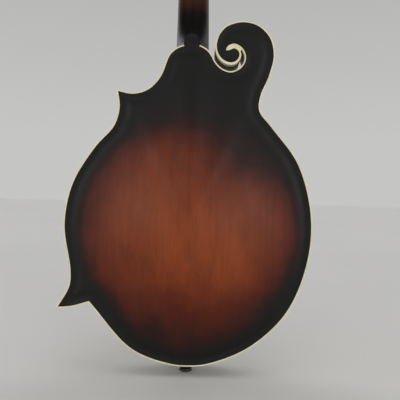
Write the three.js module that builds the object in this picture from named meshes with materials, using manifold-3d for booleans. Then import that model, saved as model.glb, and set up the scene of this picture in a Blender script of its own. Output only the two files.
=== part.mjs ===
// A carved-top, carved-back mandolin with a scroll body, eight strings and geared tuners.
// Units are millimetres and +Z is up. The instrument hangs upright: the neck points up, the back
// faces -Y, the bass side (and the scroll) is at +X. The origin is where a wall hanger's yoke
// holds the neck, at the middle of its section under the nut.
import * as THREE from "three";
import { mergeVertices } from "three/addons/utils/BufferGeometryUtils.js";
import Module from "manifold-3d";

const wasm = await Module();
wasm.setup();

// ---------------------------------------------------------------- driving dimensions
const CLEARANCE = 0.3; // glue line or seat between two pieces
const BODY_WIDTH = 249; // over the two bouts
const BODY_LENGTH = 347; // tail to the top of the scroll
const RIM_DEPTH = 44; // over the two plate edges
const PLATE = 4; // thickness of the carved plates
const ARCH = 14; // rise of each carved plate above its edge
const BINDING_WIDTH = 1.5;
const BINDING_HEIGHT = 6;
const RIM_THICKNESS = 3.3;
const LINING_WIDTH = 5;
const LINING_HEIGHT = 7;
const HEEL_WIDTH = 15.5; // the back's round button on the heel
const HEEL_BUTTON = 10.5; // how far the button reaches past the body

const SCALE_LENGTH = 352.4; // nut to bridge
const JOINT_FRET = 15; // the fret at which the neck meets the body
const NECK_PITCH = THREE.MathUtils.degToRad(6);
const HEAD_PITCH = THREE.MathUtils.degToRad(14);
const BOARD_HEIGHT = 7.9; // underside of the fingerboard above the top's edge, at the joint
const BOARD_THICKNESS = 5;
const NUT_WIDTH = 28;
const JOINT_WIDTH = 35.6;
const NECK_DEPTH = 13;
const NUT_THICKNESS = 4;
const HEAD_LENGTH = 163;
const HEAD_THICKNESS = 14;
const OVERLAY_THICKNESS = 2.5;
const ROD_RADIUS = 2.2;

const BRIDGE_LENGTH = 114;
const BRIDGE_WIDTH = 11;
const SADDLE_WIDTH = 6.5;
const SADDLE_GAP = 0.17; // between the lowest string and the saddle's blank, before notching
const BRIDGE_POST_SPACING = 64;
const BRIDGE_POST_RADIUS = 2;
const THUMBWHEEL_RADIUS = 6;
const SADDLE_TRAVEL = 1.2;

const TAILPIECE_LENGTH = 85;
const TAILPIECE_WIDTH = 54;
const SHEET = 1.2; // sheet metal of the tailpiece and the tuner plates
const HOOK_SPACING = 5.2;
const PIN_RADIUS = 7.1;
const PIN_LENGTH = 11;

const POST_SPACING = 23;
const FIRST_POST = 38;
const POST_OFFSET = 19; // tuner posts either side of the middle line
const POST_RADIUS = 3;
const GEAR_TEETH = 16;
const GEAR_RADIUS = 4.7;
const WORM_RADIUS = 2.2;
const SHAFT_RADIUS = 1.2;

const STRING_RADII = { g: 0.5, d: 0.42, a: 0.34, e: 0.3 };

// ---------------------------------------------------------------- materials
const material = (color, roughness, metalness = 0) =>
  new THREE.MeshStandardMaterial({ color, roughness, metalness });
const BURST = material(0x6f3a20, 0.4);
const TOP_SPRUCE = material(0x7a4522, 0.4);
const RIM_MAPLE = material(0x3a1c12, 0.45);
const NECK_MAPLE = material(0x2a1712, 0.45);
const CREAM = material(0xe9e0b8, 0.45);
const BARE_WOOD = material(0xc9a46c, 0.8);
const EBONY = material(0x17120f, 0.5);
const BONE = material(0xece6d2, 0.4);
const NICKEL = material(0xb9b6ae, 0.3, 1);
const STEEL = material(0x8d8f92, 0.35, 1);
const BRONZE = material(0xa97b45, 0.4, 1);
const PEARLOID = material(0xe8e4d8, 0.3);

// ---------------------------------------------------------------- solids
function solidOf(geometry) {
  const bare = geometry.index ? geometry.toNonIndexed() : geometry.clone();
  bare.deleteAttribute("normal");
  bare.deleteAttribute("uv");
  const merged = mergeVertices(bare, 1e-4);
  return new wasm.Manifold(
    new wasm.Mesh({
      numProp: 3,
      vertProperties: merged.attributes.position.array,
      triVerts: new Uint32Array(merged.index.array),
    }),
  );
}

function geometryOf(solid) {
  const mesh = solid.getMesh();
  const geometry = new THREE.BufferGeometry();
  geometry.setAttribute("position", new THREE.BufferAttribute(mesh.vertProperties, 3));
  geometry.setIndex(new THREE.BufferAttribute(mesh.triVerts, 1));
  geometry.computeVertexNormals();
  return geometry;
}

const join = (first, ...rest) =>
  geometryOf(rest.reduce((sum, g) => sum.add(solidOf(g)), solidOf(first)));
const cut = (first, ...rest) =>
  geometryOf(rest.reduce((left, g) => left.subtract(solidOf(g)), solidOf(first)));
const common = (first, ...rest) =>
  geometryOf(rest.reduce((both, g) => both.intersect(solidOf(g)), solidOf(first)));

// A closed surface from its corners and triangles, turned to face out.
function closedSurface(corners, triangles) {
  let volume = 0;
  for (const [a, b, c] of triangles)
    volume += corners[a].dot(new THREE.Vector3().crossVectors(corners[b], corners[c]));
  const geometry = new THREE.BufferGeometry().setFromPoints(corners);
  geometry.setIndex(triangles.flatMap(([a, b, c]) => (volume < 0 ? [a, c, b] : [a, b, c])));
  geometry.computeVertexNormals();
  return geometry;
}

// Convex sections with the same number of points, joined in order and capped.
function loft(sections) {
  const count = sections[0].length;
  const triangles = [];
  for (let s = 0; s + 1 < sections.length; s++)
    for (let i = 0; i < count; i++) {
      const a = s * count + i;
      const b = s * count + ((i + 1) % count);
      triangles.push([a, b, a + count], [b, b + count, a + count]);
    }
  const last = (sections.length - 1) * count;
  for (let i = 1; i + 1 < count; i++) {
    triangles.push([0, i + 1, i]);
    triangles.push([last, last + i, last + i + 1]);
  }
  return closedSurface(sections.flat(), triangles);
}

// A round rod through a list of points, with a mitred section at each.
function rod(points, radius, sides = 6) {
  const side = new THREE.Vector3(1, 0, 0);
  const sections = points.map((point, i) => {
    const before = points[Math.max(i - 1, 0)];
    const after = points[Math.min(i + 1, points.length - 1)];
    const along = after.clone().sub(before).normalize();
    const up = new THREE.Vector3().crossVectors(along, side).normalize();
    const across = new THREE.Vector3().crossVectors(up, along).normalize();
    return Array.from({ length: sides }, (_, k) => {
      const turn = (2 * Math.PI * k) / sides;
      return point
        .clone()
        .addScaledVector(across, radius * Math.cos(turn))
        .addScaledVector(up, radius * Math.sin(turn));
    });
  });
  return loft(sections);
}

// An outline in x and z, given thickness between two heights y.
function slab(outline, low, high) {
  const geometry = new THREE.ExtrudeGeometry(new THREE.Shape(outline), {
    depth: high - low,
    bevelEnabled: false,
  });
  return geometry.rotateX(Math.PI / 2).translate(0, high, 0);
}

// An outline in x and y, run along z.
function bar(outline, low, high) {
  const geometry = new THREE.ExtrudeGeometry(new THREE.Shape(outline), {
    depth: high - low,
    bevelEnabled: false,
  });
  return geometry.translate(0, 0, low);
}

function box(x0, x1, y0, y1, z0, z1) {
  const geometry = new THREE.BoxGeometry(x1 - x0, y1 - y0, z1 - z0);
  return geometry.translate((x0 + x1) / 2, (y0 + y1) / 2, (z0 + z1) / 2);
}

// Cylinders along y, along z and along x.
function peg(radius, x, z, low, high, sides = 12) {
  const geometry = new THREE.CylinderGeometry(radius, radius, high - low, sides);
  return geometry.translate(x, (low + high) / 2, z);
}
function pin(radius, x, y, low, high, sides = 12) {
  const geometry = new THREE.CylinderGeometry(radius, radius, high - low, sides);
  return geometry.rotateX(Math.PI / 2).translate(x, y, (low + high) / 2);
}
function axle(radius, y, z, low, high, sides = 12) {
  const geometry = new THREE.CylinderGeometry(radius, radius, high - low, sides);
  return geometry.rotateZ(Math.PI / 2).translate((low + high) / 2, y, z);
}

// A profile of [radius, height] pairs turned about the y axis.
const turned = (profile, sides = 16) =>
  new THREE.LatheGeometry(profile.map(([r, h]) => new THREE.Vector2(r, h)), sides);

// A flat ring about the y axis.
const ring = (inner, outer, low, high, sides) =>
  turned([[inner, low], [outer, low], [outer, high], [inner, high], [inner, low]], sides);

// ---------------------------------------------------------------- the body's outline
// Points are laid out on a body 249 wide and 347 long, and stretched to the driving sizes.
const bodyPoint = (x, z) =>
  new THREE.Vector2((x * BODY_WIDTH) / 249, (z * BODY_LENGTH) / 347);

function stretch(knots, steps) {
  const places = knots.map(([x, z]) => new THREE.Vector3(x, z, 0));
  const curve = new THREE.CatmullRomCurve3(places, false, "centripetal");
  const samples = curve.getPoints((knots.length - 1) * steps);
  return samples.slice(0, -1).map((p) => bodyPoint(p.x, p.y));
}

const HEEL_TOP = [0, 323];
const LOWER_TIP = [-131, 56];
const UPPER_TIP = [-74.5, 276];
const NOTCH = [-98, 62];
const scrollSlot = [
  HEEL_TOP, [8, 322], [16, 317.6], [20.5, 312], [24.5, 305], [31, 299], [39.5, 296.5],
  [48, 300], [52.5, 306.5], [52.8, 313], [49, 319.7], [42.5, 322.8], [37.4, 321],
  [35.6, 318.4], [38, 319.2], [42.5, 320.8], [48, 317.6], [49.6, 313], [47.4, 307],
  [42, 303.4], [35, 303.8], [28, 308.6], [24.4, 315.5], [23.5, 323],
];
const scrollAndBout = [
  [23.5, 323], [26, 332.5], [34, 342], [50, 347], [66, 343.8], [79, 331.5], [83.4, 313],
  [78.5, 291], [71, 272.5], [70, 258], [83, 241], [109.5, 205.5], [124, 154], [121, 105.5],
  [101, 55.5], [64.5, 20], [24, 2.5], [4, 0], [-16, 1.5], [-55, 16], NOTCH,
];
const lowerPoint = [NOTCH, [-116, 57], LOWER_TIP];
const trebleWaist = [
  LOWER_TIP, [-118.8, 78.5], [-118, 95], [-124.8, 139.5], [-117.5, 181], [-96, 218],
  [-77, 240.5], [-72.2, 258], UPPER_TIP,
];
const shoulder = [
  UPPER_TIP, [-58, 273.2], [-44, 277.2], [-32, 289.5], [-22, 313], [-12, 320.6], HEEL_TOP,
];
const outline = [
  ...stretch(scrollSlot, 1), ...stretch(scrollAndBout, 2), ...stretch(lowerPoint, 2),
  ...stretch(trebleWaist, 2), ...stretch(shoulder, 2),
].reverse();

function distanceTo(point, loop) {
  const nearest = new THREE.Vector3();
  const target = new THREE.Vector3(point.x, point.y, 0);
  let least = Infinity;
  for (let i = 0; i < loop.length; i++) {
    const a = loop[i];
    const b = loop[(i + 1) % loop.length];
    const edge = new THREE.Line3(new THREE.Vector3(a.x, a.y, 0), new THREE.Vector3(b.x, b.y, 0));
    edge.closestPointToPoint(target, true, nearest);
    least = Math.min(least, nearest.distanceTo(target));
  }
  return least;
}

// A counter-clockwise loop moved inwards (or outwards, by a negative amount), mitred at its
// corners, without the points that a tight corner would fold over.
function inset(loop, amount) {
  const moved = loop.map((point, i) => {
    const before = loop[(i + loop.length - 1) % loop.length];
    const after = loop[(i + 1) % loop.length];
    const into = point.clone().sub(before).normalize();
    const away = after.clone().sub(point).normalize();
    const bisector = new THREE.Vector2(-into.y - away.y, into.x + away.x).normalize();
    const reach = bisector.dot(new THREE.Vector2(-away.y, away.x));
    const hollow = into.cross(away) * amount < 0;
    return point.clone().addScaledVector(bisector, amount / Math.max(reach, hollow ? 0.8 : 0.3));
  });
  return moved.filter((point) => distanceTo(point, loop) > 0.99 * Math.abs(amount) - 0.01);
}

const EDGE = RIM_DEPTH / 2; // the plates' edges lie this far from the middle plane
const JOINT_Z = bodyPoint(...HEEL_TOP).y - 2;

// ---------------------------------------------------------------- the carved arch
const ARCH_CENTRE = bodyPoint(0, 140);
const ARCH_HALF = [
  [0, 12], [44, 21], [78, 52], [104, 96], [112, 140], [103, 180], [84, 214], [62, 243],
  [52, 262], [34, 276], [19, 293], [9, 306], [0, 311],
];
const archHeight = (s) => ARCH * (0.5 + 0.5 * Math.cos(Math.PI * s));

function archOutline(steps) {
  const mirrored = ARCH_HALF.slice(1, -1).reverse().map(([x, z]) => [-x, z]);
  const places = [...ARCH_HALF, ...mirrored].map(([x, z]) => new THREE.Vector3(x, z, 0));
  const curve = new THREE.CatmullRomCurve3(places, true, "centripetal");
  return curve.getPoints(places.length * steps).slice(0, -1).map((p) => bodyPoint(p.x, p.y));
}

// The space under the arch, from height base up to the carved surface.
// side is 1 for the top and -1 for the back; the plane is where the arch leaves the edge.
function archSpace(side, plane, base) {
  const border = archOutline(2);
  const levels = [1, 0.8, 0.6, 0.4, 0.2];
  const corners = border.map((p) => new THREE.Vector3(p.x, side * base, p.y));
  for (const s of levels)
    for (const p of border) {
      const x = ARCH_CENTRE.x + (p.x - ARCH_CENTRE.x) * s;
      const z = ARCH_CENTRE.y + (p.y - ARCH_CENTRE.y) * s;
      corners.push(new THREE.Vector3(x, side * (plane + archHeight(s)), z));
    }
  const foot = corners.push(new THREE.Vector3(ARCH_CENTRE.x, side * base, ARCH_CENTRE.y)) - 1;
  const apexHeight = side * (plane + archHeight(0));
  const apex = corners.push(new THREE.Vector3(ARCH_CENTRE.x, apexHeight, ARCH_CENTRE.y)) - 1;
  const count = border.length;
  const triangles = [];
  for (let i = 0; i < count; i++) {
    const next = (i + 1) % count;
    triangles.push([foot, next, i]);
    for (let k = 0; k < levels.length; k++) {
      const a = k * count;
      triangles.push([a + i, a + next, a + count + i]);
      triangles.push([a + next, a + count + next, a + count + i]);
    }
    triangles.push([levels.length * count + i, levels.length * count + next, apex]);
  }
  return closedSurface(corners, triangles);
}

// ---------------------------------------------------------------- the body
const PLATE_INSET = BINDING_WIDTH + CLEARANCE;
const PLATE_INSIDE = EDGE - PLATE;
const UNDER_PLATE = PLATE_INSIDE - CLEARANCE;

function carvedPlate(side) {
  const sheet = slab(
    inset(outline, PLATE_INSET),
    Math.min(side * PLATE_INSIDE, side * EDGE),
    Math.max(side * PLATE_INSIDE, side * EDGE),
  );
  const raised = join(sheet, archSpace(side, EDGE, EDGE - PLATE / 2));
  return cut(raised, archSpace(side, PLATE_INSIDE, PLATE_INSIDE - 1));
}

function buttonOutline(growth) {
  const radius = HEEL_WIDTH / 2 + growth;
  const top = bodyPoint(...HEEL_TOP).y + HEEL_BUTTON + growth - radius;
  const points = [new THREE.Vector2(-radius, JOINT_Z - 8), new THREE.Vector2(radius, JOINT_Z - 8)];
  for (let i = 0; i <= 10; i++) {
    const turn = (Math.PI * i) / 10;
    points.push(new THREE.Vector2(radius * Math.cos(turn), top + radius * Math.sin(turn)));
  }
  return points;
}

function soundHole(side) {
  const knots = [[36, 204], [41, 212], [46.5, 207], [48, 190], [50.5, 175], [53, 160], [54, 144],
    [59.5, 139], [64, 147]];
  const places = knots.map(([x, z]) => new THREE.Vector3(side * x, z, 0));
  const curve = new THREE.CatmullRomCurve3(places, false, "centripetal");
  const near = [];
  const far = [];
  const steps = 14;
  for (let i = 0; i <= steps; i++) {
    const t = i / steps;
    const along = curve.getTangent(t);
    const half = 1.3 + 1.9 * Math.sin(Math.PI * t) ** 2;
    const p = curve.getPoint(t);
    near.push(bodyPoint(p.x - along.y * half, p.y + along.x * half));
    far.unshift(bodyPoint(p.x + along.y * half, p.y - along.x * half));
  }
  const upper = bodyPoint(side * 36.5, 203.5);
  const lower = bodyPoint(side * 63.5, 148);
  return join(
    slab([...near, ...far], 0, 60),
    peg(3.6, upper.x, upper.y, 0, 60),
    peg(4.4, lower.x, lower.y, 0, 60),
  );
}

const backPlate = () =>
  join(carvedPlate(-1), slab(buttonOutline(0), -EDGE, -PLATE_INSIDE));
const topPlate = () => cut(carvedPlate(1), soundHole(1), soundHole(-1));

const hoop = (outer, inner, low, high) =>
  cut(slab(inset(outline, outer), low, high), slab(inset(outline, inner), low - 1, high + 1));

const TENON_WIDTH = 18;
const TENON_LOW = -14;
const TENON_HIGH = EDGE - BINDING_HEIGHT - 1;
const mortise = (grow, depth) =>
  box(
    -TENON_WIDTH / 2 - grow, TENON_WIDTH / 2 + grow,
    TENON_LOW - grow, TENON_HIGH + grow,
    JOINT_Z - depth - grow, JOINT_Z + 4,
  );
const TENON_DEPTH = 22;
const SCREW_PLACES = [[-9.5, 10], [9.5, 10], [0, -10]];
const tailBores = () => [
  pin(3.6, 0, 0, -5, 30),
  ...SCREW_PLACES.map(([x, y]) => pin(1.6, x, y, -5, 14)),
];

function rim() {
  const face = EDGE - BINDING_HEIGHT - CLEARANCE;
  const walls = join(
    hoop(0, RIM_THICKNESS, -face, face),
    hoop(PLATE_INSET, RIM_THICKNESS, -UNDER_PLATE, UNDER_PLATE),
  );
  return cut(walls, mortise(CLEARANCE, TENON_DEPTH), ...tailBores());
}

const backBinding = () =>
  cut(
    hoop(0, BINDING_WIDTH, -EDGE, BINDING_HEIGHT - EDGE),
    slab(buttonOutline(CLEARANCE), -EDGE - 1, -EDGE + BINDING_HEIGHT + 1),
  );
const topBinding = () => hoop(0, BINDING_WIDTH, EDGE - BINDING_HEIGHT, EDGE);

// The linings follow the rim from the scroll block round the tail to the neck block, straight
// past the roots of the points. The blocks at the tail and the points are cut to let them through.
const LINING_OUTSIDE = RIM_THICKNESS + CLEARANCE;
const POINT_ROOT = 18;
const liningPath = outline.filter((p) => {
  const inScroll = p.x > bodyPoint(15, 0).x && p.y > bodyPoint(0, 275).y;
  const tips = [bodyPoint(...LOWER_TIP), bodyPoint(...UPPER_TIP)];
  return !inScroll && tips.every((tip) => tip.distanceTo(p) > POINT_ROOT);
});
function liningStrip(side, grow) {
  const low = UNDER_PLATE - LINING_HEIGHT - grow;
  const high = UNDER_PLATE + grow;
  const [y0, y1] = side > 0 ? [low, high] : [-high, -low];
  const outer = slab(inset(liningPath, LINING_OUTSIDE - grow), y0, y1);
  const inner = slab(inset(liningPath, LINING_OUTSIDE + LINING_WIDTH + grow), y0 - 1, y1 + 1);
  const scrollRoot = bodyPoint(22, 252);
  const neckRoot = bodyPoint(-32, 272);
  return cut(
    outer, inner, ...tailBores(),
    box(scrollRoot.x, 300, -60, 60, scrollRoot.y, 500),
    box(neckRoot.x, 60, -60, 60, neckRoot.y, 500),
  );
}

function block(x0, x1, z0, z1) {
  const low = bodyPoint(x0, z0);
  const high = bodyPoint(x1, z1);
  return common(
    slab(inset(outline, LINING_OUTSIDE), -UNDER_PLATE, UNDER_PLATE),
    box(low.x, high.x, -EDGE, EDGE, low.y, high.y),
  );
}
const liningCuts = () => [liningStrip(1, CLEARANCE), liningStrip(-1, CLEARANCE)];
const neckBlock = () => cut(block(-27, 24, 280, 340), mortise(CLEARANCE, TENON_DEPTH));
const scrollBlock = () => block(24.6, 95, 258, 360);
const tailBlock = () => cut(block(-30, 30, -5, 24), ...liningCuts(), ...tailBores());
const upperPointBlock = () => cut(block(-85, -50, 246, 285), ...liningCuts());
const lowerPointBlock = () => cut(block(-140, -97, 50, 88), ...liningCuts());

function toneBar(x, tilt) {
  const stick = box(-3, 3, UNDER_PLATE, EDGE + ARCH, -105, 105);
  stick.rotateY(tilt).translate(x, 0, bodyPoint(0, 160).y);
  return common(stick, archSpace(1, UNDER_PLATE, UNDER_PLATE - 2));
}

// ---------------------------------------------------------------- the neck
// Neck frame: x across, y out of the fingerboard's underside, z up the neck from the joint.
const fretPlace = (n) => SCALE_LENGTH * (1 - 2 ** (-n / 12));
const NUT_Z = fretPlace(JOINT_FRET);
const neckFrame = new THREE.Matrix4()
  .makeRotationX(NECK_PITCH)
  .setPosition(0, EDGE + BOARD_HEIGHT, JOINT_Z);
const HEAD_START = NUT_Z + NUT_THICKNESS + CLEARANCE;
const headFrame = new THREE.Matrix4().makeRotationX(HEAD_PITCH).setPosition(0, 0, HEAD_START);
const headInBody = neckFrame.clone().multiply(headFrame);

const boardWidth = (z) => JOINT_WIDTH + ((NUT_WIDTH - JOINT_WIDTH) * z) / NUT_Z;

// Half-oval section whose sides turn into a taper towards the heel.
function neckSection(z, depth, heel) {
  const half = boardWidth(Math.max(z, 0)) / 2;
  const points = [];
  for (let i = 0; i <= 12; i++) {
    const turn = (Math.PI * i) / 12;
    const down = Math.sin(turn);
    const oval = -half * Math.cos(turn);
    const taper = -Math.sign(Math.cos(turn)) * (half + (HEEL_WIDTH / 2 - half) * down ** 1.6);
    const straight = Math.abs(Math.cos(turn)) < 0.01 ? 0 : taper;
    points.push(new THREE.Vector3(oval + (straight - oval) * heel, -depth * down, z));
  }
  return points;
}

const HEEL_DEPTH = (EDGE + BOARD_HEIGHT + UNDER_PLATE) / Math.cos(NECK_PITCH) + 1;
const NECK_OVERLAP = 8; // the neck's wood reaches this far over the curved shoulder of the body

function headOutline() {
  const knots = [
    [-14.5, -4], [-17, 8], [-26, 23], [-31.5, 37], [-31, 60], [-29.5, 85], [-30.5, 106],
    [-36.5, 122], [-39, 137], [-34, 151], [-23, 156], [-13, 149], [-5, 139], [3, 138],
    [10, 148], [17, 159], [28, 163], [38, 155], [41.5, 140], [38, 123], [30.5, 106],
    [29.5, 85], [31, 60], [31.5, 37], [26, 23], [17, 8], [14.5, -4],
  ];
  const places = knots.map(([x, z]) => new THREE.Vector3(x, (z * HEAD_LENGTH) / 163, 0));
  const curve = new THREE.CatmullRomCurve3(places, false, "centripetal");
  return curve.getPoints(2 * (places.length - 1)).map((p) => new THREE.Vector2(p.x, p.y));
}

const postPlaces = [0, 1, 2, 3].map((i) => FIRST_POST + i * POST_SPACING);
const postBores = (radius, low, high) =>
  postPlaces.flatMap((z) => [-1, 1].map((side) => peg(radius, side * POST_OFFSET, z, low, high)));

function neck() {
  const shape = loft([
    neckSection(-NECK_OVERLAP, HEEL_DEPTH, 1),
    neckSection(HEEL_BUTTON - 1, HEEL_DEPTH, 1),
    neckSection(HEEL_BUTTON + 2.5, 38, 0.9),
    neckSection(18, 28, 0.7),
    neckSection(25, 21, 0.4),
    neckSection(36, 17, 0.1),
    neckSection(60, 15.6, 0),
    neckSection(NUT_Z - 20, NECK_DEPTH, 0),
    neckSection(HEAD_START, NECK_DEPTH, 0),
  ]);
  const head = slab(headOutline(), -HEAD_THICKNESS, 0).applyMatrix4(headFrame);
  const nutLedge = box(-40, 40, 0, 40, NUT_Z - 30, HEAD_START + 6);
  const fromBody = neckFrame.clone().invert();
  const tenon = mortise(0, TENON_DEPTH).applyMatrix4(fromBody);
  const bodySpace = slab(inset(outline, -CLEARANCE), -60, EDGE + CLEARANCE);
  const belowHeel = box(-40, 40, -120, -UNDER_PLATE, JOINT_Z - 40, JOINT_Z + 60);
  const channel = box(-ROD_RADIUS - 0.4, ROD_RADIUS + 0.4, -8, 1, 14, HEAD_START + 2);
  const pocket = box(-4, 4, -9, 1, -4, 16).applyMatrix4(headFrame);
  const wood = cut(
    join(shape, head),
    bodySpace.applyMatrix4(fromBody),
    belowHeel.applyMatrix4(fromBody),
    nutLedge,
  );
  return cut(
    join(wood, tenon),
    channel, pocket,
    ...postBores(POST_RADIUS + 0.5, -30, 5).map((bore) => bore.applyMatrix4(headFrame)),
  );
}

// The board carries on past the joint over the top, further on the treble side.
const BOARD_END = NUT_Z - fretPlace(20) - 3.5;
const BOARD_TREBLE_END = NUT_Z - fretPlace(24) - 4;
function fingerboard() {
  const halfNut = NUT_WIDTH / 2;
  const half = boardWidth(BOARD_END) / 2;
  const end = new THREE.CatmullRomCurve3(
    [[half, BOARD_END, 0], [6, BOARD_END - 2, 0], [-1, BOARD_END - 10, 0],
      [-5, BOARD_TREBLE_END + 2, 0], [-half - 0.8, BOARD_TREBLE_END, 0]]
      .map((p) => new THREE.Vector3(...p)),
    false, "centripetal",
  );
  const edge = end.getPoints(12).map((p) => new THREE.Vector2(p.x, p.y));
  const top = [new THREE.Vector2(-halfNut, NUT_Z), new THREE.Vector2(halfNut, NUT_Z)];
  return slab([...top, ...edge], CLEARANCE, BOARD_THICKNESS);
}

function fingerboardRiser() {
  const half = JOINT_WIDTH / 2 - 2;
  const stick = box(-half, half, -14, 0, BOARD_END + 4, -NECK_OVERLAP - CLEARANCE);
  const fromBody = neckFrame.clone().invert();
  const top = join(
    slab(outline, 0, EDGE + CLEARANCE),
    archSpace(1, EDGE + CLEARANCE, EDGE - 1),
  );
  return cut(stick, top.applyMatrix4(fromBody));
}

const STRING_OVER_NUT = BOARD_THICKNESS + 1.9; // string centres above the glue plane
const STRING_OVER_BRIDGE = BOARD_THICKNESS + 4.6;
const NUT_TOP = STRING_OVER_NUT - STRING_RADII.g - 2 * CLEARANCE;
const nut = () =>
  bar(
    [[-NUT_WIDTH / 2, CLEARANCE], [NUT_WIDTH / 2, CLEARANCE], [NUT_WIDTH / 2, NUT_TOP - 0.6],
      [NUT_WIDTH / 2 - 2, NUT_TOP], [2 - NUT_WIDTH / 2, NUT_TOP], [-NUT_WIDTH / 2, NUT_TOP - 0.6]]
      .map((p) => new THREE.Vector2(...p)),
    NUT_Z + CLEARANCE, NUT_Z + NUT_THICKNESS,
  );

function trussRod() {
  const centre = -ROD_RADIUS - 2.6;
  const nutStart = HEAD_START - 2;
  return join(
    pin(ROD_RADIUS, 0, centre, 15, nutStart + 1, 10),
    pin(3.1, 0, centre, nutStart, nutStart + 7, 6),
  );
}

// ---------------------------------------------------------------- the headstock
// Head frame: y = 0 is the front of the wood, z runs up the headstock.
const OVERLAY_TOP = CLEARANCE + OVERLAY_THICKNESS;
const overlay = () =>
  cut(
    slab(headOutline(), CLEARANCE, OVERLAY_TOP),
    box(-60, 60, -5, 10, -10, 2),
    box(-4.2, 4.2, -5, 10, 0, 16),
    ...postBores(POST_RADIUS + 0.5, -5, 10),
  );
const rodCover = () =>
  slab(
    [[-9, 3], [9, 3], [9.5, 9], [6, 20], [3.5, 30], [0, 34], [-3.5, 30], [-6, 20], [-9.5, 9]]
      .map((p) => new THREE.Vector2(...p)),
    OVERLAY_TOP + CLEARANCE, OVERLAY_TOP + CLEARANCE + 1.2,
  );

const PLATE_BACK = -HEAD_THICKNESS - CLEARANCE - SHEET;
const WORM_Y = PLATE_BACK - CLEARANCE - WORM_RADIUS;
const WORM_DROP = GEAR_RADIUS + WORM_RADIUS + CLEARANCE; // worm axis below the post's
const WORM_HALF = 3.5;
const LUG = 1.2;
const GEAR_FACE = 2.4;

function tunerPlate(side) {
  const x = side * POST_OFFSET;
  const lugs = postPlaces.flatMap((z) =>
    [-1, 1].map((end) => {
      const middle = x + end * (WORM_HALF + CLEARANCE + LUG / 2);
      const low = WORM_Y - SHAFT_RADIUS - 1.3;
      const worm = z - WORM_DROP;
      return box(middle - LUG / 2, middle + LUG / 2, low, PLATE_BACK + 0.5, worm - 2.2, worm + 2.2);
    }),
  );
  const strip = box(
    x - 7, x + 7, PLATE_BACK, PLATE_BACK + SHEET,
    postPlaces[0] - 14, postPlaces[3] + 8,
  );
  return cut(
    join(strip, ...lugs),
    ...postPlaces.map((z) => peg(POST_RADIUS + 0.5, x, z, -40, 5, 10)),
    ...postPlaces.map((z) =>
      axle(SHAFT_RADIUS + 0.3, WORM_Y, z - WORM_DROP, x - 10, x + 10, 6)),
  );
}

// A post stands about the y axis and carries its gear behind the plate.
function tunerPost() {
  const teeth = Array.from({ length: 2 * GEAR_TEETH }, (_, i) => {
    const radius = i % 2 ? GEAR_RADIUS - 0.7 : GEAR_RADIUS;
    const turn = (Math.PI * i) / GEAR_TEETH;
    return new THREE.Vector2(radius * Math.cos(turn), radius * Math.sin(turn));
  });
  const gear = slab(teeth, WORM_Y - GEAR_FACE / 2, WORM_Y + GEAR_FACE / 2);
  const top = OVERLAY_TOP + 10;
  const post = turned([
    [0, WORM_Y - 2], [2.2, WORM_Y - 2], [POST_RADIUS, WORM_Y - 1], [POST_RADIUS, top - 1],
    [POST_RADIUS - 0.8, top], [0, top],
  ], 10);
  return join(gear, post);
}

// A worm shaft lies along the x axis, with the button on its outer end.
const BUTTON_START = 19; // from the post's line out to the button
function tunerButton(side) {
  const grooves = [];
  for (let i = 0; i < 3; i++) {
    const x = -WORM_HALF + i * 2.3;
    grooves.push([WORM_RADIUS, x + 0.1], [WORM_RADIUS, x + 1.2], [1.6, x + 1.7]);
  }
  const shaft = turned([
    [0, -6.4], [SHAFT_RADIUS, -6.4], [SHAFT_RADIUS, -WORM_HALF], ...grooves,
    [SHAFT_RADIUS, WORM_HALF + 0.1], [SHAFT_RADIUS, BUTTON_START + 3], [0, BUTTON_START + 3],
  ], 8).rotateZ(-Math.PI / 2);
  const knob = loft(
    [[0, 1.8, 1.8], [1.5, 3, 2.4], [5, 6, 2.9], [11, 6.3, 2.9], [14.5, 3.4, 1.8], [15.2, 1.4, 0.8]]
      .map(([x, tall, thick]) =>
      Array.from({ length: 10 }, (_, k) => {
        const turn = (Math.PI * k) / 5;
        const y = thick * Math.cos(turn);
        return new THREE.Vector3(BUTTON_START + x, y, tall * Math.sin(turn));
      })),
  );
  const whole = join(shaft, knob);
  return side > 0 ? whole : whole.rotateY(Math.PI);
}

// ---------------------------------------------------------------- the bridge
const inNeck = (x, y, z) => new THREE.Vector3(x, y, z).applyMatrix4(neckFrame);
const bridgeLine = inNeck(0, STRING_OVER_BRIDGE, NUT_Z - SCALE_LENGTH);
const BRIDGE_Z = bridgeLine.z;

// Where the strings start. The tailpiece's sheet rises from the tail's edge to clear the arch
// at its upper end. Tailpiece frame: z up along the sheet, y out of its underside.
const ARCH_FOOT = bodyPoint(0, 12).y;
const archAt = (z) => archHeight(Math.abs(ARCH_CENTRE.y - z) / (ARCH_CENTRE.y - ARCH_FOOT));
const TAIL_REST = 0.57; // how much more the sheet rises than the arch under its upper end
const TAIL_TILT = Math.atan2(archAt(TAILPIECE_LENGTH) + TAIL_REST, TAILPIECE_LENGTH);
const tailFrame = new THREE.Matrix4().makeRotationX(-TAIL_TILT).setPosition(0, EDGE + 1, 0);
const HOOK_Z = 30;
const HOOK_TOP = SHEET + 3.4;
const LOOP_Y = SHEET + 1.7;
const STRING_START = HOOK_Z + 1.6;
const bridgeInTail = bridgeLine.clone().applyMatrix4(tailFrame.clone().invert());
const stringOverSheet = (z) =>
  LOOP_Y + ((z - STRING_START) * (bridgeInTail.y - LOOP_Y)) / (bridgeInTail.z - STRING_START);
const stringStart = new THREE.Vector3(0, LOOP_Y, STRING_START).applyMatrix4(tailFrame);
const stringSlope = (bridgeLine.y - stringStart.y) / (BRIDGE_Z - stringStart.z);

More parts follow.
